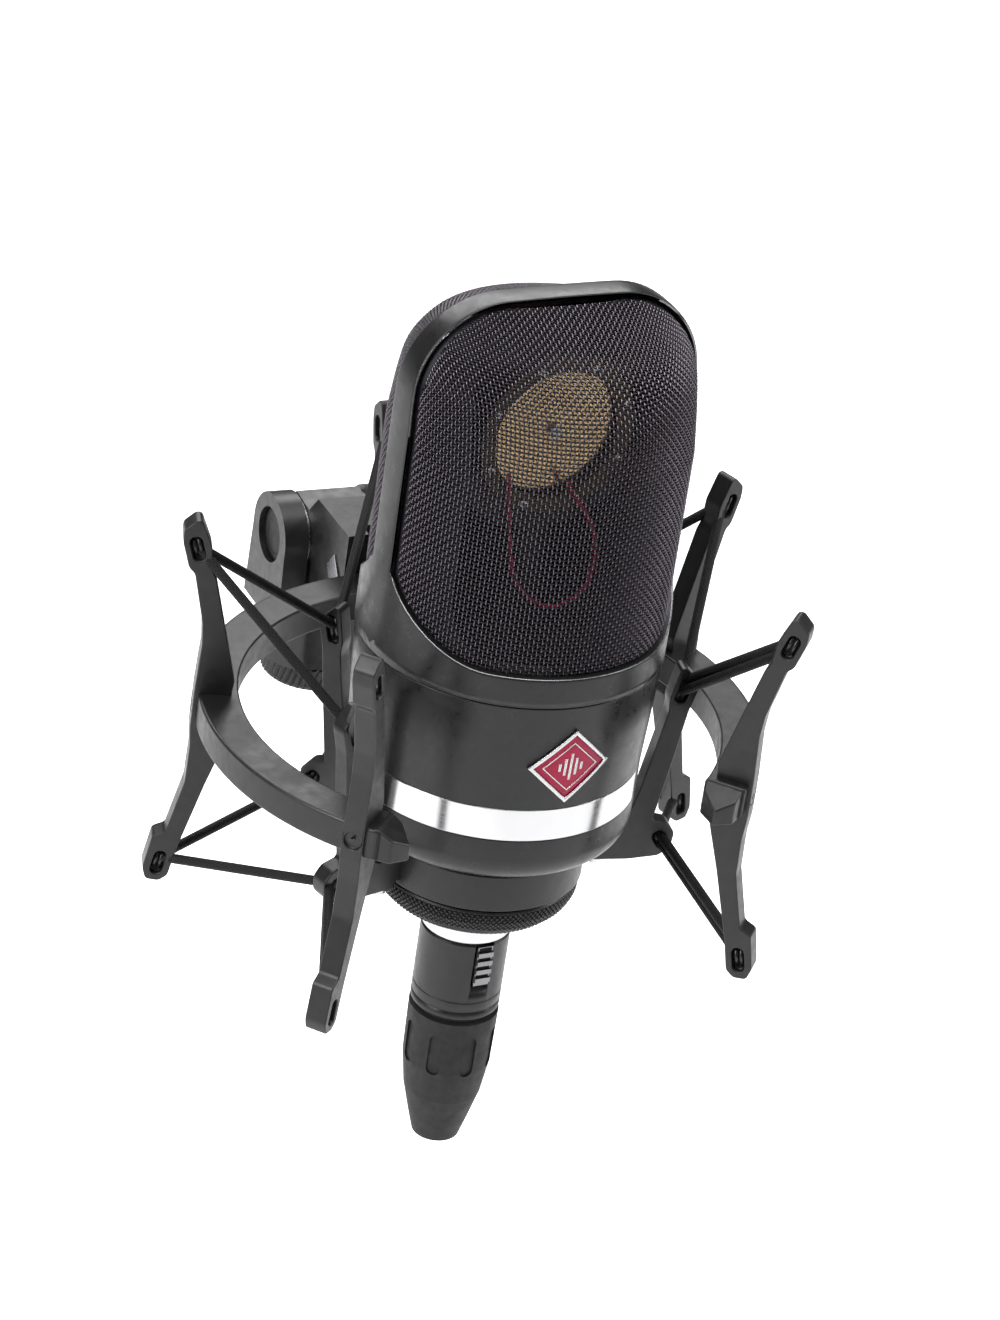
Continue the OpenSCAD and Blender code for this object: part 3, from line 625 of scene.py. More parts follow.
def weave():
    """Centre lines of the woven wires: (points, normals) for each upright and each level wire."""
    step = PITCH / GRILLE_R
    count = int(math.radians(REACH) / step)
    fine = np.linspace(COLLAR + 0.1, TOP_IN - 0.05, 4000)
    b = grille_depth(fine)
    arc = np.concatenate([[0], np.cumsum(np.hypot(np.diff(fine), np.diff(b)))])
    rows = int(arc[-1] / PITCH)
    half_x = GRILLE_R * np.sin(step * (np.arange(-2 * count, 2 * count + 1) / 2))
    half_z = np.interp(np.arange(2 * rows + 1) * arc[-1] / (2 * rows), arc, fine)
    X, Z = np.meshgrid(half_x, half_z, indexing="ij")
    W = half_width(half_z)
    inside = np.abs(X) <= W[None, :] + 0.02
    pts, nor = grille_surface(np.clip(X, -W[None, :], W[None, :]), Z)
    upright, level = [], []
    for i in range(0, len(half_x), 2):
        on = np.flatnonzero(inside[i])
        if len(on) < 4:
            continue
        s = np.where((i // 2 + on // 2) % 2 == 0, 1.0, -1.0) * (on % 2 == 0)
        upright.append((pts[i, on] + nor[i, on] * (s * CRIMP * 1.25)[:, None], nor[i, on]))
    for j in range(0, len(half_z), 2):
        on = np.flatnonzero(inside[:, j])
        if len(on) < 4:
            continue
        s = -np.where((j // 2 + on // 2) % 2 == 0, 1.0, -1.0) * (on % 2 == 0)
        level.append((pts[on, j] + nor[on, j] * (s * CRIMP)[:, None], nor[on, j]))
    return upright, level


def wire_mesh(wires, r, sides=4):
    verts, faces, base = [], [], 0
    for p, n in wires:
        t = np.gradient(p, axis=0)
        t /= np.linalg.norm(t, axis=1)[:, None]
        b = np.cross(t, n)
        b /= np.linalg.norm(b, axis=1)[:, None]
        nn = np.cross(b, t)
        v = np.stack([p + c for c in circle(nn, b, r, sides)], 1).reshape(-1, 3)
        m = len(p)
        i = np.arange((m - 1))[:, None] * sides
        k = np.arange(sides)[None, :]
        l = (k + 1) % sides
        f = np.stack([i + k, i + l, i + sides + l, i + sides + k], -1).reshape(-1, 4) + base
        verts.append(v)
        faces.append(f)
        base += len(v)
    return np.concatenate(verts), np.concatenate(faces)


# upright wires get the lit wire colour, level wires the darker copy of it as painted shade
for kind, wires, mat in zip(("upright", "level"), weave(), ("wire", "wire_shaded")):
    v, f = wire_mesh(wires, WIRE)
    for side, sy in (("front", 1), ("rear", -1)):
        o = piece(f"{side}_weave_{kind}", v * [1, sy, 1], f[:, ::sy], mat)
        finish_piece(o, "microphone", [side + "_grille"])

WALL = 1.8              # thickness of the head's frame
OPEN_R = 13.0           # the opening's lower corners
LEDGE = 0.4             # depth of the edge round the opening, on the cylinder
STEP = 0.75             # and on the arch
ARCH_R, ARCH_IN_R = 19.0, 18.4                    # the arch's corners outside and inside
ACROSS = np.linspace(0, 1, 6)


def cyl(th, z, r=MIC_R):
    return np.array([-r * math.sin(th), -r * math.cos(th), z])


def head_shell():
    """A quarter of the head's frame as rows across it: the row's points, the edge's inner
    point, the outward and inward directions there, and whether its back is round."""
    low_c = MIC_R - 0.35 - OPEN_R
    th1 = math.asin(low_c / MIC_R)
    side_z, ri = COLLAR + OPEN_R, MIC_R - LEDGE
    rows = []
    # along the collar's upper edge
    for k in range(12):
        th = th1 * k / 12
        n = cyl(th, 0, 1.0)
        rows.append(([cyl(th, COLLAR * t) for t in ACROSS], cyl(th, COLLAR + 0.35, ri), n, -n,
                     True))
    # round the lower corner
    turn = MIC_R * (math.pi / 2 - th1)
    corner = turn / (turn + side_z)
    cuts = sorted({round(i / 14, 4) for i in range(14) if abs(i / 14 - corner) > 0.03} | {corner})
    for c in cuts:
        cos, sin = math.cos(math.pi / 2 * (c - 1)), math.sin(math.pi / 2 * (c - 1))
        x, z = low_c + OPEN_R * cos, COLLAR + OPEN_R * (1 + sin)
        th_e = min(math.asin(min(1, x / MIC_R)), math.acos(BAND / MIC_R))
        d = c * (turn + side_z)
        th_o, z_o = (th1 + d / MIC_R, 0.0) if d <= turn + 1e-6 else (math.pi / 2, d - turn)
        path = [cyl(th_o + (th_e - th_o) * t, z_o + (z - z_o) * t) for t in ACROSS]
        n = cyl(th_e, 0, 1.0)
        xi, zi = low_c - 0.1 + (OPEN_R - 0.35) * cos, side_z + (OPEN_R - 0.35) * sin
        thi = min(math.asin(min(1, xi / ri)), math.acos(BAND / ri))
        h = -n * (1 - c ** 3) + np.array([0, 1, 0]) * c ** 3
        rows.append((path, cyl(thi, zi, ri), n, h / np.linalg.norm(h), True))
    # up the side, round the upper corner and along the top
    zc, zi_c = HEAD_TOP - ARCH_R, HEAD_TOP - STEP - ARCH_IN_R
    xc, xi_c = MIC_R - ARCH_R, MIC_R - STEP - ARCH_IN_R
    track = []
    for k in range(14):
        t = k / 14
        track.append(((MIC_R, side_z + (zc - side_z) * t), (1.0, 0.0),
                      (MIC_R - STEP, side_z + (zi_c - side_z) * t)))
    for k in range(18):
        c, s = math.cos(math.pi / 2 * k / 18), math.sin(math.pi / 2 * k / 18)
        track.append(((xc + ARCH_R * c, zc + ARCH_R * s), (c, s),
                      (xi_c + ARCH_IN_R * c, zi_c + ARCH_IN_R * s)))
    for k in range(7):
        t = k / 6
        track.append(((xc * (1 - t), HEAD_TOP), (0.0, 1.0), (xi_c * (1 - t), HEAD_TOP - STEP)))
    for (x, z), (nx, nz), (xi, zi) in track:
        n = np.array([-nx, 0, nz])
        fall = (z - BAND_FROM) / (HEAD_TOP - BAND_FROM - 2)
        band = BAND + (BAND_TOP_HALF - BAND) * min(1, max(0, fall))
        sag = 0.9 * (x / MIC_R) ** 2 * nz + 0.12
        path = []
        for t in ACROSS:
            y = -band * t
            crown = MIC_R - math.sqrt(MIC_R ** 2 - y * y)
            path.append(np.array([-x, y, z - sag]) - n * crown)
        rows.append((path, np.array([-xi, -band, zi - sag]), n, np.array([0, 1.0, 0]), False))
    return rows


def head_mesh():
    grid = []
    for path, inner, n, h, round_back in head_shell():
        e = path[-1]
        w = path[-1] - path[-2]
        w /= np.linalg.norm(w)
        g = inner - e
        gl = np.linalg.norm(g)
        g /= gl
        r1 = min(0.4, gl * 0.45)
        bend = np.linspace(0, 1, 5)
        line = list(path[:-1])
        line += [bent(t, e - w * 0.4, e, e + g * r1) for t in bend]
        line += [bent(t, inner - g * r1, inner, inner + h * 0.35) for t in bend]
        floor = inner + h * 1.7
        line += [floor, floor + g * 1.9, floor + g * 1.9 + h * 0.7]
        k = 1 - WALL / MIC_R
        back = path[0] * [k, k, 1] if round_back else path[0] - n * WALL
        line += [(floor + h * 0.8) * 0.5 + back * 0.5, back]
        grid.append(line)
    g = np.array(grid)
    m, k = g.shape[:2]
    verts, faces, base = [], [], 0
    for sx in (1, -1):
        for sy in (1, -1):
            v = (g * [sx, sy, 1]).reshape(-1, 3)
            verts.append(v)
            for i in range(m - 1):
                for j in range(k - 1):
                    q = [base + i * k + j, base + (i + 1) * k + j, base + (i + 1) * k + j + 1,
                         base + i * k + j + 1]
                    faces.append(q if sx * sy > 0 else q[::-1])
                # close the lower rim where the boundary lies on the seam
                if abs(g[i, 0, 2]) < 1e-6 and abs(g[i + 1, 0, 2]) < 1e-6:
                    q = [base + i * k, base + i * k + k - 1, base + (i + 1) * k + k - 1,
                         base + (i + 1) * k]
                    faces.append(q if sx * sy > 0 else q[::-1])
            base += m * k
    return np.concatenate(verts), faces


v, f = head_mesh()
head = blank("head_frame_shell", v, f, "satin")
head.data.shade_smooth()
finish_piece(head, "microphone", ["head_frame"])


def lip_strip():
    """The thin polished edge round each opening."""
    sides, r = 8, 0.14
    half = [np.array(row[0][-1:] + [row[1], row[2]]) for row in head_shell()]
    for name, sy in (("front_lip", 1), ("rear_lip", -1)):
        line = [p * [1, sy, 1] for p in half]
        other = [p * [-1, sy, 1] for p in half]
        loop = line[:-1] + other[::-1][:-1]
        loop = loop[:-1] if np.allclose(loop[0][0], loop[-1][0]) else loop
        verts = []
        for e, inner, n in loop:
            g = (inner - e) / np.linalg.norm(inner - e)
            c = e * 0.45 + inner * 0.55
            verts += [c + q for q in circle(n, g, r, sides)]
        m = len(loop)
        o = blank(name, verts, swept(m, m, sides), "lip")
        o.data.shade_smooth()
        finish_piece(o, "microphone", ())


lip_strip()


def liner(name, sy, u0=-1.0, u1=1.0, inset=1.2):
    """The fine dark gauze behind a grille, between two parts of its half width."""
    nz, nx = 70, 61
    zs = np.linspace(COLLAR - 1.0, TOP_IN - 0.3, nz)
    on = np.clip(zs, COLLAR + 0.2, TOP_IN - 0.2)
    X = np.maximum(half_width(on), 6.0)[:, None] * np.linspace(u0, u1, nx)
    Y = sy * np.minimum(grille_y(X, np.repeat(on[:, None], nx, 1)) + inset, -1.0)
    verts = np.stack([X, Y, np.repeat(zs[:, None], nx, 1)], -1).reshape(-1, 3)
    faces = [[i * nx + j, i * nx + j + 1, (i + 1) * nx + j + 1, (i + 1) * nx + j][::sy]
             for i in range(nz - 1) for j in range(nx - 1)]
    o = piece(name, verts, faces, "gauze")
    m = o.modifiers.new("thickness", "SOLIDIFY")
    m.thickness, m.offset = 0.25 * MM, -1
    return finish_piece(baked(o), "microphone", ())


liner("rear_gauze", -1)
liner("front_gauze_right", 1, 0.8, 1.0)
liner("front_gauze_left", 1, -1.0, -0.8)

# ---- body
BAND_TOP, BAND_LOW = band_high[2], band_low[2]
BODY_R = band_high[0]


def body_r(z):
    """The body's radius at a height, between the seam and the band."""
    return BODY_R + (MIC_R - 0.2 - BODY_R) * (z - BAND_TOP) / (-0.7 - BAND_TOP)

SWITCH_Z, SWITCH_R = -12.0, 6.02
LAMP_R, LAMP_RING, LAMP_STEP = 0.9, 9.5, 24      # indicator windows, on an arc over the switch
v, f = lathe(fillet([(MIC_R - 0.2, -0.3), (MIC_R - 0.2, -0.7), (BODY_R, BAND_TOP + 0.1),
                     (BODY_R - 1.8, BAND_TOP + 0.1), (MIC_R - 2.2, -0.3)],
                    [0.25, 0, 0.15, 0, 0]), 192)
shell = blank("body_tube", v, f, "satin")
cuts = [round_cut((0, 20, SWITCH_Z), (0, 40, SWITCH_Z), SWITCH_R, 64)]
for i in range(-2, 3):
    a = math.radians(i * LAMP_STEP)
    x, z = LAMP_RING * math.sin(a), SWITCH_Z + LAMP_RING * math.cos(a)
    cuts.append(round_cut((x, 20, z), (x, 40, z), LAMP_R, 20))
finish_piece(weighted(carve(shell, cuts)), "microphone", ["body_shell"])

turned_piece("chrome_sleeve", [(BODY_R, BAND_LOW + 0.05), (BODY_R, BAND_TOP - 0.02),
                               (BODY_R - 2.1, BAND_TOP - 0.02), (BODY_R - 2.1, BAND_LOW + 0.05)],
             [0.18, 0.18, 0, 0], "chrome", "microphone", ["chrome_band"], 256)

# the skirt's lower edge, its flat underside and the threaded stub below it
SKIRT_Z, SKIRT_LOW, STUB_R, BORE_R = -36.6, -42.5, 14.6, 9.7
low_curve = [(BODY_R - 4.5 + 4.42 * math.cos(math.radians(a)),
              SKIRT_Z - 5.9 * math.sin(math.radians(a))) for a in range(0, 90, 6)]
cap_profile = ([(BODY_R - 2.2, BAND_LOW - 0.02), (BODY_R - 0.28, BAND_LOW - 0.02),
                (BODY_R - 0.08, BAND_LOW - 0.25)] + low_curve +
               [(18, SKIRT_LOW), (18, cage_high[2] + 0.05), (STUB_R, cage_high[2] + 0.05),
                (STUB_R, cap_low[2]), (BORE_R, cap_low[2]), (BORE_R, -38.5), (25, -38.5),
                (26.4, -36)])
turned_piece("bottom_skirt", cap_profile, 0.0, "satin", "microphone", ["bottom_cap"],
             192)

# ---- badge
BADGE_Z = -14.0


def on_body(u, v, lift):
    """A point on the body's front: u along the surface, v up from the badge's centre."""
    z = BADGE_Z + v
    r = body_r(z) + lift
    a = u / r
    return (r * math.sin(a), -r * math.cos(a), z)


def dense(outline, steps):
    """An outline's sides cut into steps."""
    return [np.array(p) * (1 - k / steps) + np.array(q) * (k / steps)
            for p, q in zip(outline, outline[1:] + outline[:1]) for k in range(steps)]


def body_patch(name, outer, inner, lift0, lift1, mat, node=(), steps=14, edge=0.12):
    """A raised ring between two outlines (or a filled outline), laid on the body's curve."""
    outer = dense(outer, steps)
    m = len(outer)
    if inner:
        inner = dense(inner, steps)
        cross = [(0.0, lift0), (0.0, lift1 - edge), (0.18, lift1), (0.82, lift1),
                 (1.0, lift1 - edge), (1.0, lift0)]
        verts = [on_body(*(outer[i] * (1 - t) + inner[i] * t), lift)
                 for t, lift in cross for i in range(m)]
        faces = swept(len(cross), len(cross), m)
    else:
        scales = [(1.0, lift0), (1.0, lift1 - edge)]
        scales += [(s, lift1 - edge * (s ** 6)) for s in (0.97, 0.9, 0.75, 0.5, 0.25, 0.08)]
        verts = [on_body(*(outer[i] * s), lift) for s, lift in scales for i in range(m)]
        verts += [on_body(0, 0, lift1), on_body(0, 0, lift0)]
        loops = len(scales)
        faces = swept(loops - 1, loops, m)
        faces += [[(loops - 1) * m + i, (loops - 1) * m + (i + 1) % m, loops * m]
                  for i in range(m)]
        faces += [[i, loops * m + 1, (i + 1) % m] for i in range(m)]
    return finish_piece(weighted(blank(name, verts, faces, mat), 60), "microphone", node)


def diamond(w, h):
    return [(w, 0), (0, h), (-w, 0), (0, -h)]


body_patch("badge_border", diamond(9.2, 8.6), diamond(8.05, 7.5), 0.0, 0.85, "silver",
           ["badge_frame"])
body_patch("badge_field", diamond(8.03, 7.48), None, 0.0, 0.55, "enamel", ["badge_enamel"])
body_patch("badge_inner_line", diamond(6.2, 5.75), diamond(5.85, 5.42), 0.4, 0.68, "silver",
           (), 10, 0.05)
for i, (u, h) in enumerate([(-2.4, 0.9), (-1.2, 2.0), (0, 3.1), (1.2, 2.0), (2.4, 0.9)]):
    bar = [(u + 0.28, -h), (u + 0.28, h), (u - 0.28, h), (u - 0.28, -h)]
    inner = [(u + 0.02, -h + 0.2), (u + 0.02, h - 0.2), (u - 0.02, h - 0.2), (u - 0.02, -h + 0.2)]
    body_patch(f"badge_bar_{i}", bar, inner, 0.4, 0.68, "silver", (), 4, 0.05)

# ---- cage under the microphone
turned_piece("cage_collar", [(15, cage_low[2]), (cage_high[0], cage_low[2]),
                             (cage_high[0], cage_high[2]), (15, cage_high[2])],
             [0.2, 0.3, 0.6, 0.2], "ring", "cage", ["cage_ring"])
knurled("clamp_nut",
        [(nut_high[0] - 0.15, nut_high[2] - 0.3), (nut_high[0], nut_high[2] - 1.2),
         (nut_high[0] - 0.1, -57.4), (20.9, -59.6), (19.0, -61.6), (17.6, nut_low[2] + 0.4)],
        [(17.0, nut_low[2]), (14.7, nut_low[2]), (14.7, nut_high[2]), (21.6, nut_high[2])],
        118, 0.42, 1.25, 944, 0.2, True)

CORD_R = 0.52           # the elastics' loops in the slots
ARM = [(20.6, -47), (28.6, -47), (31.2, -44.6), (33, -37.6), (36.4, -18.6), (36.2, -15.8),
       (37.6, -8.4), (38.9, -8), (42.1, -11.6), (42.2, -13), (40.8, -18.2), (39.2, -30),
       (36.9, -45), (40.6, -45.9), (42.3, -48.2), (42, -51.4), (39.6, -53.8), (33, -54.6),
       (23.4, -54.6), (23.4, -53), (20.6, -53)]


def tip_slots(a, slots, depth, half_t, place):
    """Blind slots on both faces of a plate, as cutters, and the cord that lies in them."""
    cuts, verts, faces = [], [], []
    for c, half_len, r, tilt in slots:
        for side in (1, -1):
            lo, hi = sorted((side * (half_t - depth), side * 5))
            v, f = slot_prism(c, half_len, r, lo, hi, tilt)
            cuts.append(cutter(turned(v, a), f, place))
            x = side * (half_t - depth + 0.12)
            for off in (-0.55, 0.55):
                lean = np.array([math.cos(tilt), math.sin(tilt)]) * off
                along = np.array([-math.sin(tilt), math.cos(tilt)]) * (half_len + 0.4)
                low, high = np.array(c) + lean - along, np.array(c) + lean + along
                v, f = rod((x, -low[0], low[1]), (x, -high[0], high[1]), CORD_R, 12)
                add_part(verts, faces, place(turned(v, a)), f)
    return cuts, verts, faces


def tip_plate(node, a, outline, corner, half_t, slots, depth, body, place=same, more=()):
    """An upright plate that faces the axis, with slots at its tips and the cord in them."""
    v, f = prism(fillet(outline, corner, 2), -half_t, half_t)
    o = blank(node + "_plate", place(turned(v, a)), f, "ring")
    cuts, cv, cf = tip_slots(a, slots, depth, half_t, place)
    carve(o, cuts + list(more))
    finish_piece(soften(o, 0.4), body, [node])
    o = blank(node + "_loops", cv, cf, "loop")
    o.data.shade_smooth()
    finish_piece(o, body)


# each slot: its middle (forward, z), half length, radius and tilt
ARM_SLOTS = [((39.0, -13.4), 1.9, 1.3, -0.25), ((39.4, -49.8), 0.9, 1.35, 0.6)]
STRUT_SLOTS = [((61.7, 15.8), 1.5, 1.3, -0.3), ((62.8, -57.9), 1.5, 1.3, 0.2)]
for node, a in ARMS.items():
    tip_plate(node, a, ARM, 0.7, 2.0, ARM_SLOTS, 1.15, "cage")

# ---- struts and ring
# the outlines are (forward, z) points, as seen from the side
STRUT = [(51.6, -16.2), (51.3, -14), (57.4, 9.6), (58.4, 11.2), (58.8, 16.2), (61.2, 22),
         (62.4, 22.2), (64.9, 19.8), (64.8, 17), (63.1, 11.4), (61.8, 10.2), (59.2, -1),
         (58.8, -6), (59.3, -16.2), (59.4, -25), (59, -30), (59.2, -38.3), (62, -50.4),
         (64.6, -51.6), (66, -59.4), (65.2, -62), (62.4, -62.4), (60.6, -61), (59.2, -54),
         (54.9, -38.3), (51.4, -27), (51.6, -24.6)]
for node, a in STRUTS.items():
    v, f = rod((0, -58.75, RING_Z), (0, -62, RING_Z), 1.85)
    screw_seat = cutter(turned(v, a), f, swayed)
    tip_plate(node, a, STRUT, 0.6, 2.3, STRUT_SLOTS, 1.3, "suspension", swayed, [screw_seat])

BOX_FACES = [[0, 1, 2, 3], [7, 6, 5, 4], [0, 4, 5, 1], [1, 5, 6, 2], [2, 6, 7, 3], [3, 7, 4, 0]]
verts, faces, cuts = [], [], []
for a in STRUT_ANGLES:
    for p, q, r in ((-58.78, -59.28, 1.72), (-50.5, -58.9, 1.2)):      # head and shank
        v, f = rod((0, p, RING_Z), (0, q, RING_Z), r)
        add_part(verts, faces, swayed(turned(v, a)), f)
    for w, h in ((1.05, 0.28), (0.28, 1.05)):         # the two arms of the cross recess
        cross = [(x * k, y, RING_Z + z * k) for k, y in ((1, -60), (0.8, -58.9))
                 for x, z in ((-w, -h), (w, -h), (w, h), (-w, h))]
        cuts.append(cutter(turned(cross, a), BOX_FACES, swayed))
heads = blank("strut_screw_heads", verts, faces, "steel_dark")
carve(heads, cuts)
finish_piece(soften(heads, 0.1, 2), "suspension", ["strut_screws"])

RING_IN, RING_OUT, RING_END = 50.0, 58.5, 43          # radii, and the gap's half angle
v, f = lathe(fillet([(RING_IN, RING_LOW), (RING_OUT, RING_LOW), (RING_OUT, RING_TOP),
                     (RING_IN, RING_TOP)], [0.5, 0.7, 0.7, 0.5]), 200, RING_END, 360 - RING_END)
finish_piece(weighted(blank("suspension_ring", swayed(v), f, "ring")), "suspension",
             ["outer_ring"])

PROW = [(0.4, 50.1), (-2.0, 50.6), (-5.4, 54.6), (-2.6, 57.9), (0.4, 58.2)]
PROW_SLOPE = 0.62
for name, side in (("right", 1), ("left", -1)):
    verts = [(side * x, -r, RING_LOW) for x, r in PROW]
    verts += [(side * x, -r, RING_TOP - max(0, -x) * PROW_SLOPE) for x, r in PROW]
    verts = swayed(turned(verts, RING_END * side))
    o = blank("ring_prow_" + name, verts, capped(len(PROW)), "ring")
    finish_piece(soften(o, 0.35), "suspension")


# ---- elastics
def strand(name, p, q, node, r=1.05, rings=26, sides=14):
    p, q = np.asarray(p, float), np.asarray(q, float)
    length = np.linalg.norm(q - p)
    d = (q - p) / length
    u = np.cross(d, [0, 0, 1])
    u /= np.linalg.norm(u)
    w = np.cross(d, u)
    verts, uvs = [], []
    for i in range(rings + 1):
        c = p + d * length * (i / rings)
        verts += [c + edge for edge in circle(u, w, r, sides)]
    for i in range(rings):
        for k in range(sides):
            u0, u1 = k / sides, (k + 1) / sides
            v0, v1 = length * i / rings, length * (i + 1) / rings
            uvs += [(u0, v0), (u1, v0), (u1, v1), (u0, v1)]
    faces = swept(rings, rings + 1, sides)
    faces += [list(range(sides))[::-1], [rings * sides + k for k in range(sides)]]
    uvs += [(0.5, 0)] * (2 * sides)
    o = piece(name, verts, faces, "cord", uvs=uvs)
    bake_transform(o)
    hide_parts(node)


for i, (s, a) in enumerate(SPANS):
    double = s in (0, 4)
    for k, (du, dl) in enumerate([(1.35, 1.2), (-1.35, -1.2)] if double else [(0.0, 0.0)]):
        p = swayed(polar(61.7 + du * 0.3, STRUT_ANGLES[s], 15.4 + du))
        q = polar(39.0 + du * 0.25, ARM_ANGLES[a], -13.5 + du)
        strand(f"upper_strand_{i}_{k}", p, q, "upper_elastic")
        p = swayed(polar(62.7 - dl * 0.25, STRUT_ANGLES[s], -57.8 + dl))
        q = polar(39.4, ARM_ANGLES[a], -49.8 + dl * 0.6)
        strand(f"lower_strand_{i}_{k}", p, q, "lower_elastic")

# ---- swivel
PY, PZ = STAND_Y, -21.0
EAR_R, EAR_IN, EAR_OUT = 9.5, 8.4, 14.0


def stand_turned(o):
    """Moves a piece turned about the microphone's axis over to the stand's axis."""
    o.data.transform(Matrix.Translation((0, STAND_Y * MM, 0)))
    return o


EAR_LOW, EAR_HALF = PZ - 19, 10.4                     # where the ears run into the fork's base
BASE_HALF, BASE_LOW, BASE_TOP = 11.6, PZ - 28.8, PZ - 12.9
PIN_R, CAP_SEAT_R, SOCKET_R = 3.05, 6.25, 9.12
PIN = ((-20, PY, PZ), (20, PY, PZ), PIN_R, 40, swayed)
ear = [(-(PY + EAR_R * math.cos(t)), PZ + EAR_R * math.sin(t))
       for t in np.linspace(-0.12, math.pi + 0.12, 40)]
ear += [(-(PY - EAR_HALF), EAR_LOW), (-(PY + EAR_HALF), EAR_LOW)]
parts = []
for side in (1, -1):
    lo, hi = sorted((side * EAR_IN, side * EAR_OUT))
    parts.append(cutter(*prism(ear, lo, hi), swayed))
base_outline = []
for t in np.linspace(0, 2 * math.pi, 96, endpoint=False):
    x, y = EAR_OUT * math.cos(t), EAR_OUT * math.sin(t)
    base_outline.append((x, PY + max(-BASE_HALF, min(BASE_HALF, y))))
v, f = prism(base_outline, BASE_LOW, BASE_TOP, "z")
fork = blank("fork_body", swayed(v), f, "swivel")
carve(fork, parts, "UNION")
carve(fork, [round_cut(*PIN),
             round_cut((-20, PY, PZ), (-EAR_OUT + 1.9, PY, PZ), CAP_SEAT_R, 64, swayed),
             round_cut((0, PY, PZ - 40), (0, PY, PZ - 17), SOCKET_R, 64, swayed)])
finish_piece(soften(fork, 0.7, 3, 34), "stand_fork", ["swivel_fork"])

side_view = [(-55, -8), (-76.0, -8.2), (-80.2, -13.0), (-(PY + 3), -12.3), (-(PY + 7.6), -16.4),
             (-(PY + 8.9), -21), (-(PY + 7.4), -26.4), (-(PY + 2), -29.6), (-78, -29.8),
             (-70, -29.3), (-55, -27.6)]
v, f = prism(side_view, -7.35, 7.35)
tongue = blank("tongue_block", swayed(v), f, "swivel")
slit = prism([(-50, -40), (-62.6, -40), (-62.6, 0), (-50, 0)], -2.5, 2.5)
carve(tongue, [round_cut((0, 0, -50), (0, 0, 30), RING_OUT + 0.02, 200, swayed), round_cut(*PIN),
               cutter(*slit, swayed)])
finish_piece(soften(tongue, 1.1, 3, 34), "suspension", ["swivel_tongue"])

mark = [(-63.6, -15.2), (-66.9, -19.2), (-63.6, -23.2), (-60.3, -19.2)]
v, f = prism(mark, -7.85, -7.3)
plate = soften(blank("tongue_diamond", swayed(v), f, "lip"), 0.15, 2)
finish_piece(plate, "suspension", ())

# the bolt's dished cap, as (x from the ear's face, radius)
cap = [(1.95, 6.1), (1.5, 6.1), (1.25, 5.8), (1.2, 4.6), (1.35, 4.4)]
verts, count = [], 64
for x, r in cap:
    for k in range(count):
        t = 2 * math.pi * k / count
        verts.append((x - EAR_OUT, PY + r * math.cos(t), PZ + r * math.sin(t)))
m = len(cap)
faces = swept(m - 1, m, count)
faces += [list(range(count))[::-1], [(m - 1) * count + k for k in range(count)]]
add_part(verts, faces, *rod((-EAR_OUT + 1.9, PY, PZ), (EAR_OUT + 6, PY, PZ), PIN_R - 0.07, 40))
# the cap's material is blacker than the fork's: painted shade of the recess it sits in
o = soften(blank("pivot_cap", swayed(np.array(verts)), faces, "cap"), 0.12, 2, 30)
finish_piece(o, "stand_fork", ["pivot_bolt"])

lock_low, lock_high = local_box("lock_ring")
stand_turned(knurled("lock_ring",
                     [(10.9, lock_high[2] - 0.05), (11.6, lock_high[2] - 0.6),
                      (11.6, lock_low[2] + 0.7), (10.9, lock_low[2] + 0.05)],
                     [(8.0, lock_low[2]), (8.0, lock_high[2])], 46, 0.5, 5.2, 552, 0.25, False))

# ---- cable connector
PLUG_R, GROOVE_R, PLUG_IN = 9.6, 9.45, 6.9
z = plug_low[2]
sleeve = turned_piece("connector_sleeve",
             [(PLUG_IN, z), (PLUG_R, z), (PLUG_R, z + 1.6), (GROOVE_R, z + 1.7),
              (GROOVE_R, z + 2.1), (PLUG_R, z + 2.2), (PLUG_R, z + 4.0),
              (GROOVE_R, z + 4.1), (GROOVE_R, z + 4.5), (PLUG_R, z + 4.6),
              (PLUG_R, -71.0), (9.1, -70.5), (8.0, -70.5), (8.0, -52), (PLUG_IN, -52)],
             [0, 0.3, 0, 0, 0, 0, 0, 0, 0, 0, 0.2, 0.2, 0, 0, 0], "ring", "cable_connector",
             ["plug_shell"])
window = prism([(6, -81), (12, -81), (12, -66.9), (6, -66.9)], -2.1, 2.1)
weighted(carve(sleeve, [cutter(*window)]))

# dark boxes in the gaps of the latch's grip: painted shade inside the gaps
GAP_HALF, GAP_H, GAP_PITCH, GAP_FROM = 1.4, 0.48, 2.1, 2.6
latch_low = local_box("plug_latch")[0]
y0, y1 = latch_low[1] + 0.45, latch_low[1] + 0.9
verts, faces = [], []
for k in range(4):
    z = latch_low[2] + GAP_FROM + k * GAP_PITCH
    add_part(verts, faces, *prism([(-GAP_HALF, y0), (GAP_HALF, y0), (GAP_HALF, y1),
                                   (-GAP_HALF, y1)], z - GAP_H, z + GAP_H, "z"))
gap_shade = blank("latch_gap_shade", verts, faces, "dark")
finish_piece(soften(gap_shade, 0.06, 1), "connector_latch", ())

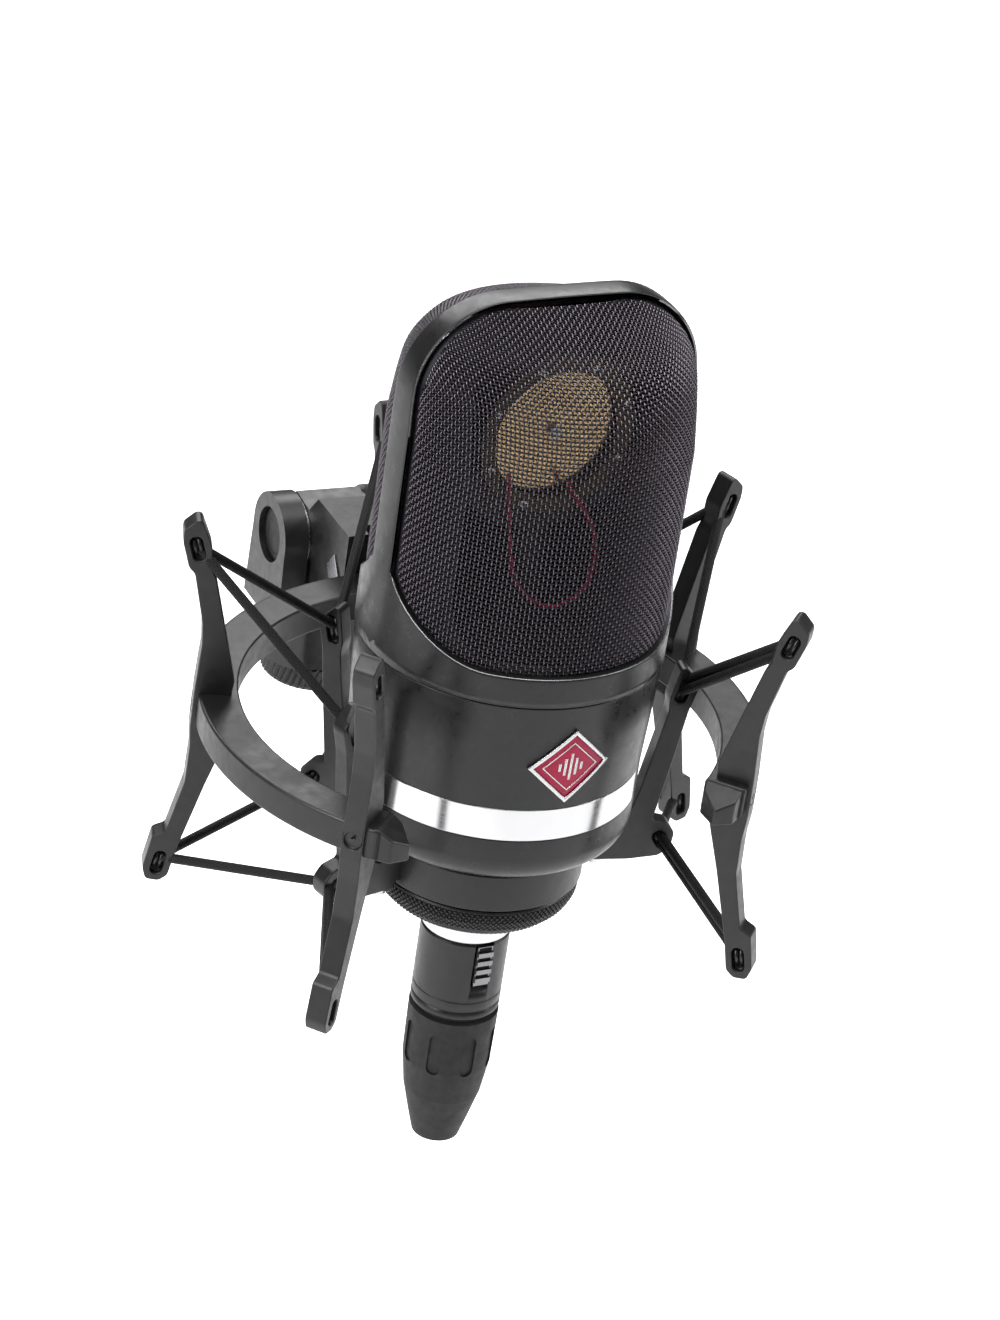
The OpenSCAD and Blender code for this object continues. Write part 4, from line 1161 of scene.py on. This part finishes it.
# ---- CAD pieces kept as they are
KEPT = {
    # the capsule's body and clamp rings take the brass darkened as painted shade
    "brass_in_shade": "capsule_body capsule_clamp_rings",
    "gold": "backplate front_diaphragm rear_diaphragm",
    "steel": "capsule_screws chassis_rails nav_gimbal arm_screws nut_washer tongue_screws "
             "friction_washers",
    "plastic": "capsule_saddle board_components xlr_insert plug_insert plug_chuck",
    "lead": "capsule_leads", "dark": "capsule_base", "board": "main_board switch_board",
    "chrome": "nav_bezel xlr_shell", "satin": "nav_switch", "window": "indicator_windows",
    "silver": "xlr_pins", "swivel": "tilt_knob", "brass": "thread_insert plug_contacts",
    "latch": "plug_latch", "rubber": "plug_boot",
}
for mat, nodes in KEPT.items():
    for node in nodes.split():
        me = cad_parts[node].data
        me.materials.clear()
        me.materials.append(M[mat])

# ---- stage, light and camera
FLOOR_DROP = 0.10       # metres under the part, which hangs from its stand
bpy.ops.mesh.primitive_plane_add(size=8, location=(0, 0, cad_low[2] - FLOOR_DROP))
floor = bpy.context.object
floor.name = "floor"
t = Tree("floor_paper")
t.set(Base_Color=t.mix(t.noise(3.0), (0.93, 0.93, 0.93), (0.96, 0.96, 0.96)), Roughness=0.9,
      Specular_IOR_Level=0.1, Emission_Color=(1, 1, 1))
# the floor and the world look brighter to the camera than they light the part
seen = t.node("ShaderNodeLightPath").outputs["Is Camera Ray"]
t.set(Emission_Strength=t.math("ADD", t.math("MULTIPLY", seen, 0.55), 0.15))
floor.data.materials.append(t.m)

scene.world = bpy.data.worlds.new("studio")
sky = Tree("studio", scene.world)
split = sky.node("ShaderNodeSeparateXYZ")
sky.link(sky.node("ShaderNodeTexCoord").outputs["Generated"], split.inputs[0])
grade = sky.ramp(split.outputs["Z"], [(0.0, 0.10), (0.45, 0.14), (1.0, 0.60)])
seen = sky.node("ShaderNodeLightPath").outputs["Is Camera Ray"]
backdrop = sky.t.nodes["Background"].inputs
sky.link(sky.mix(seen, grade, (0.95, 0.95, 0.95)), backdrop["Color"])
backdrop["Strength"].default_value = 1.0

target = Vector(row_point((0, 0, 5)))


def softbox(name, azimuth, elevation, distance, size, watts):
    a, e = math.radians(azimuth), math.radians(elevation)
    d = Vector((math.sin(a) * math.cos(e), -math.cos(a) * math.cos(e), math.sin(e)))
    light = bpy.data.lights.new(name, "AREA")
    light.shape, light.size, light.size_y, light.energy = "RECTANGLE", size[0], size[1], watts
    o = bpy.data.objects.new(name, light)
    o.location = target + d * distance
    o.rotation_euler = (-d).to_track_quat("-Z", "Y").to_euler()
    scene.collection.objects.link(o)


scene.view_settings.view_transform = "Standard"
softbox("key_left", -80, 32, 0.9, (0.30, 0.8), 8)
softbox("fill_right", 66, 22, 1.0, (0.30, 0.8), 5)
softbox("top", 10, 82, 0.9, (0.6, 0.6), 6)
softbox("rim_back", 170, 40, 1.0, (0.9, 0.4), 7)

LENS, SENSOR = 118.36, 36.0
EYE = (-396.66, -673.39, 416.90)
camera_data = bpy.data.cameras.new("camera")
camera_data.sensor_width, camera_data.lens = SENSOR, LENS
camera_data.clip_start, camera_data.clip_end = 0.01, 20
camera = bpy.data.objects.new("camera", camera_data)
scene.collection.objects.link(camera)
forward = Vector((0.4449877, 0.75793173, -0.47699626)).normalized()
right = Vector((0.88874982, -0.43920911, 0.13122161)).normalized()
up = right.cross(forward)
rotation = Matrix((right, up, -forward)).transposed().to_4x4()
camera.matrix_world = Matrix.Translation(row_point(EYE)) @ rotation
bpy.context.scene.camera = camera
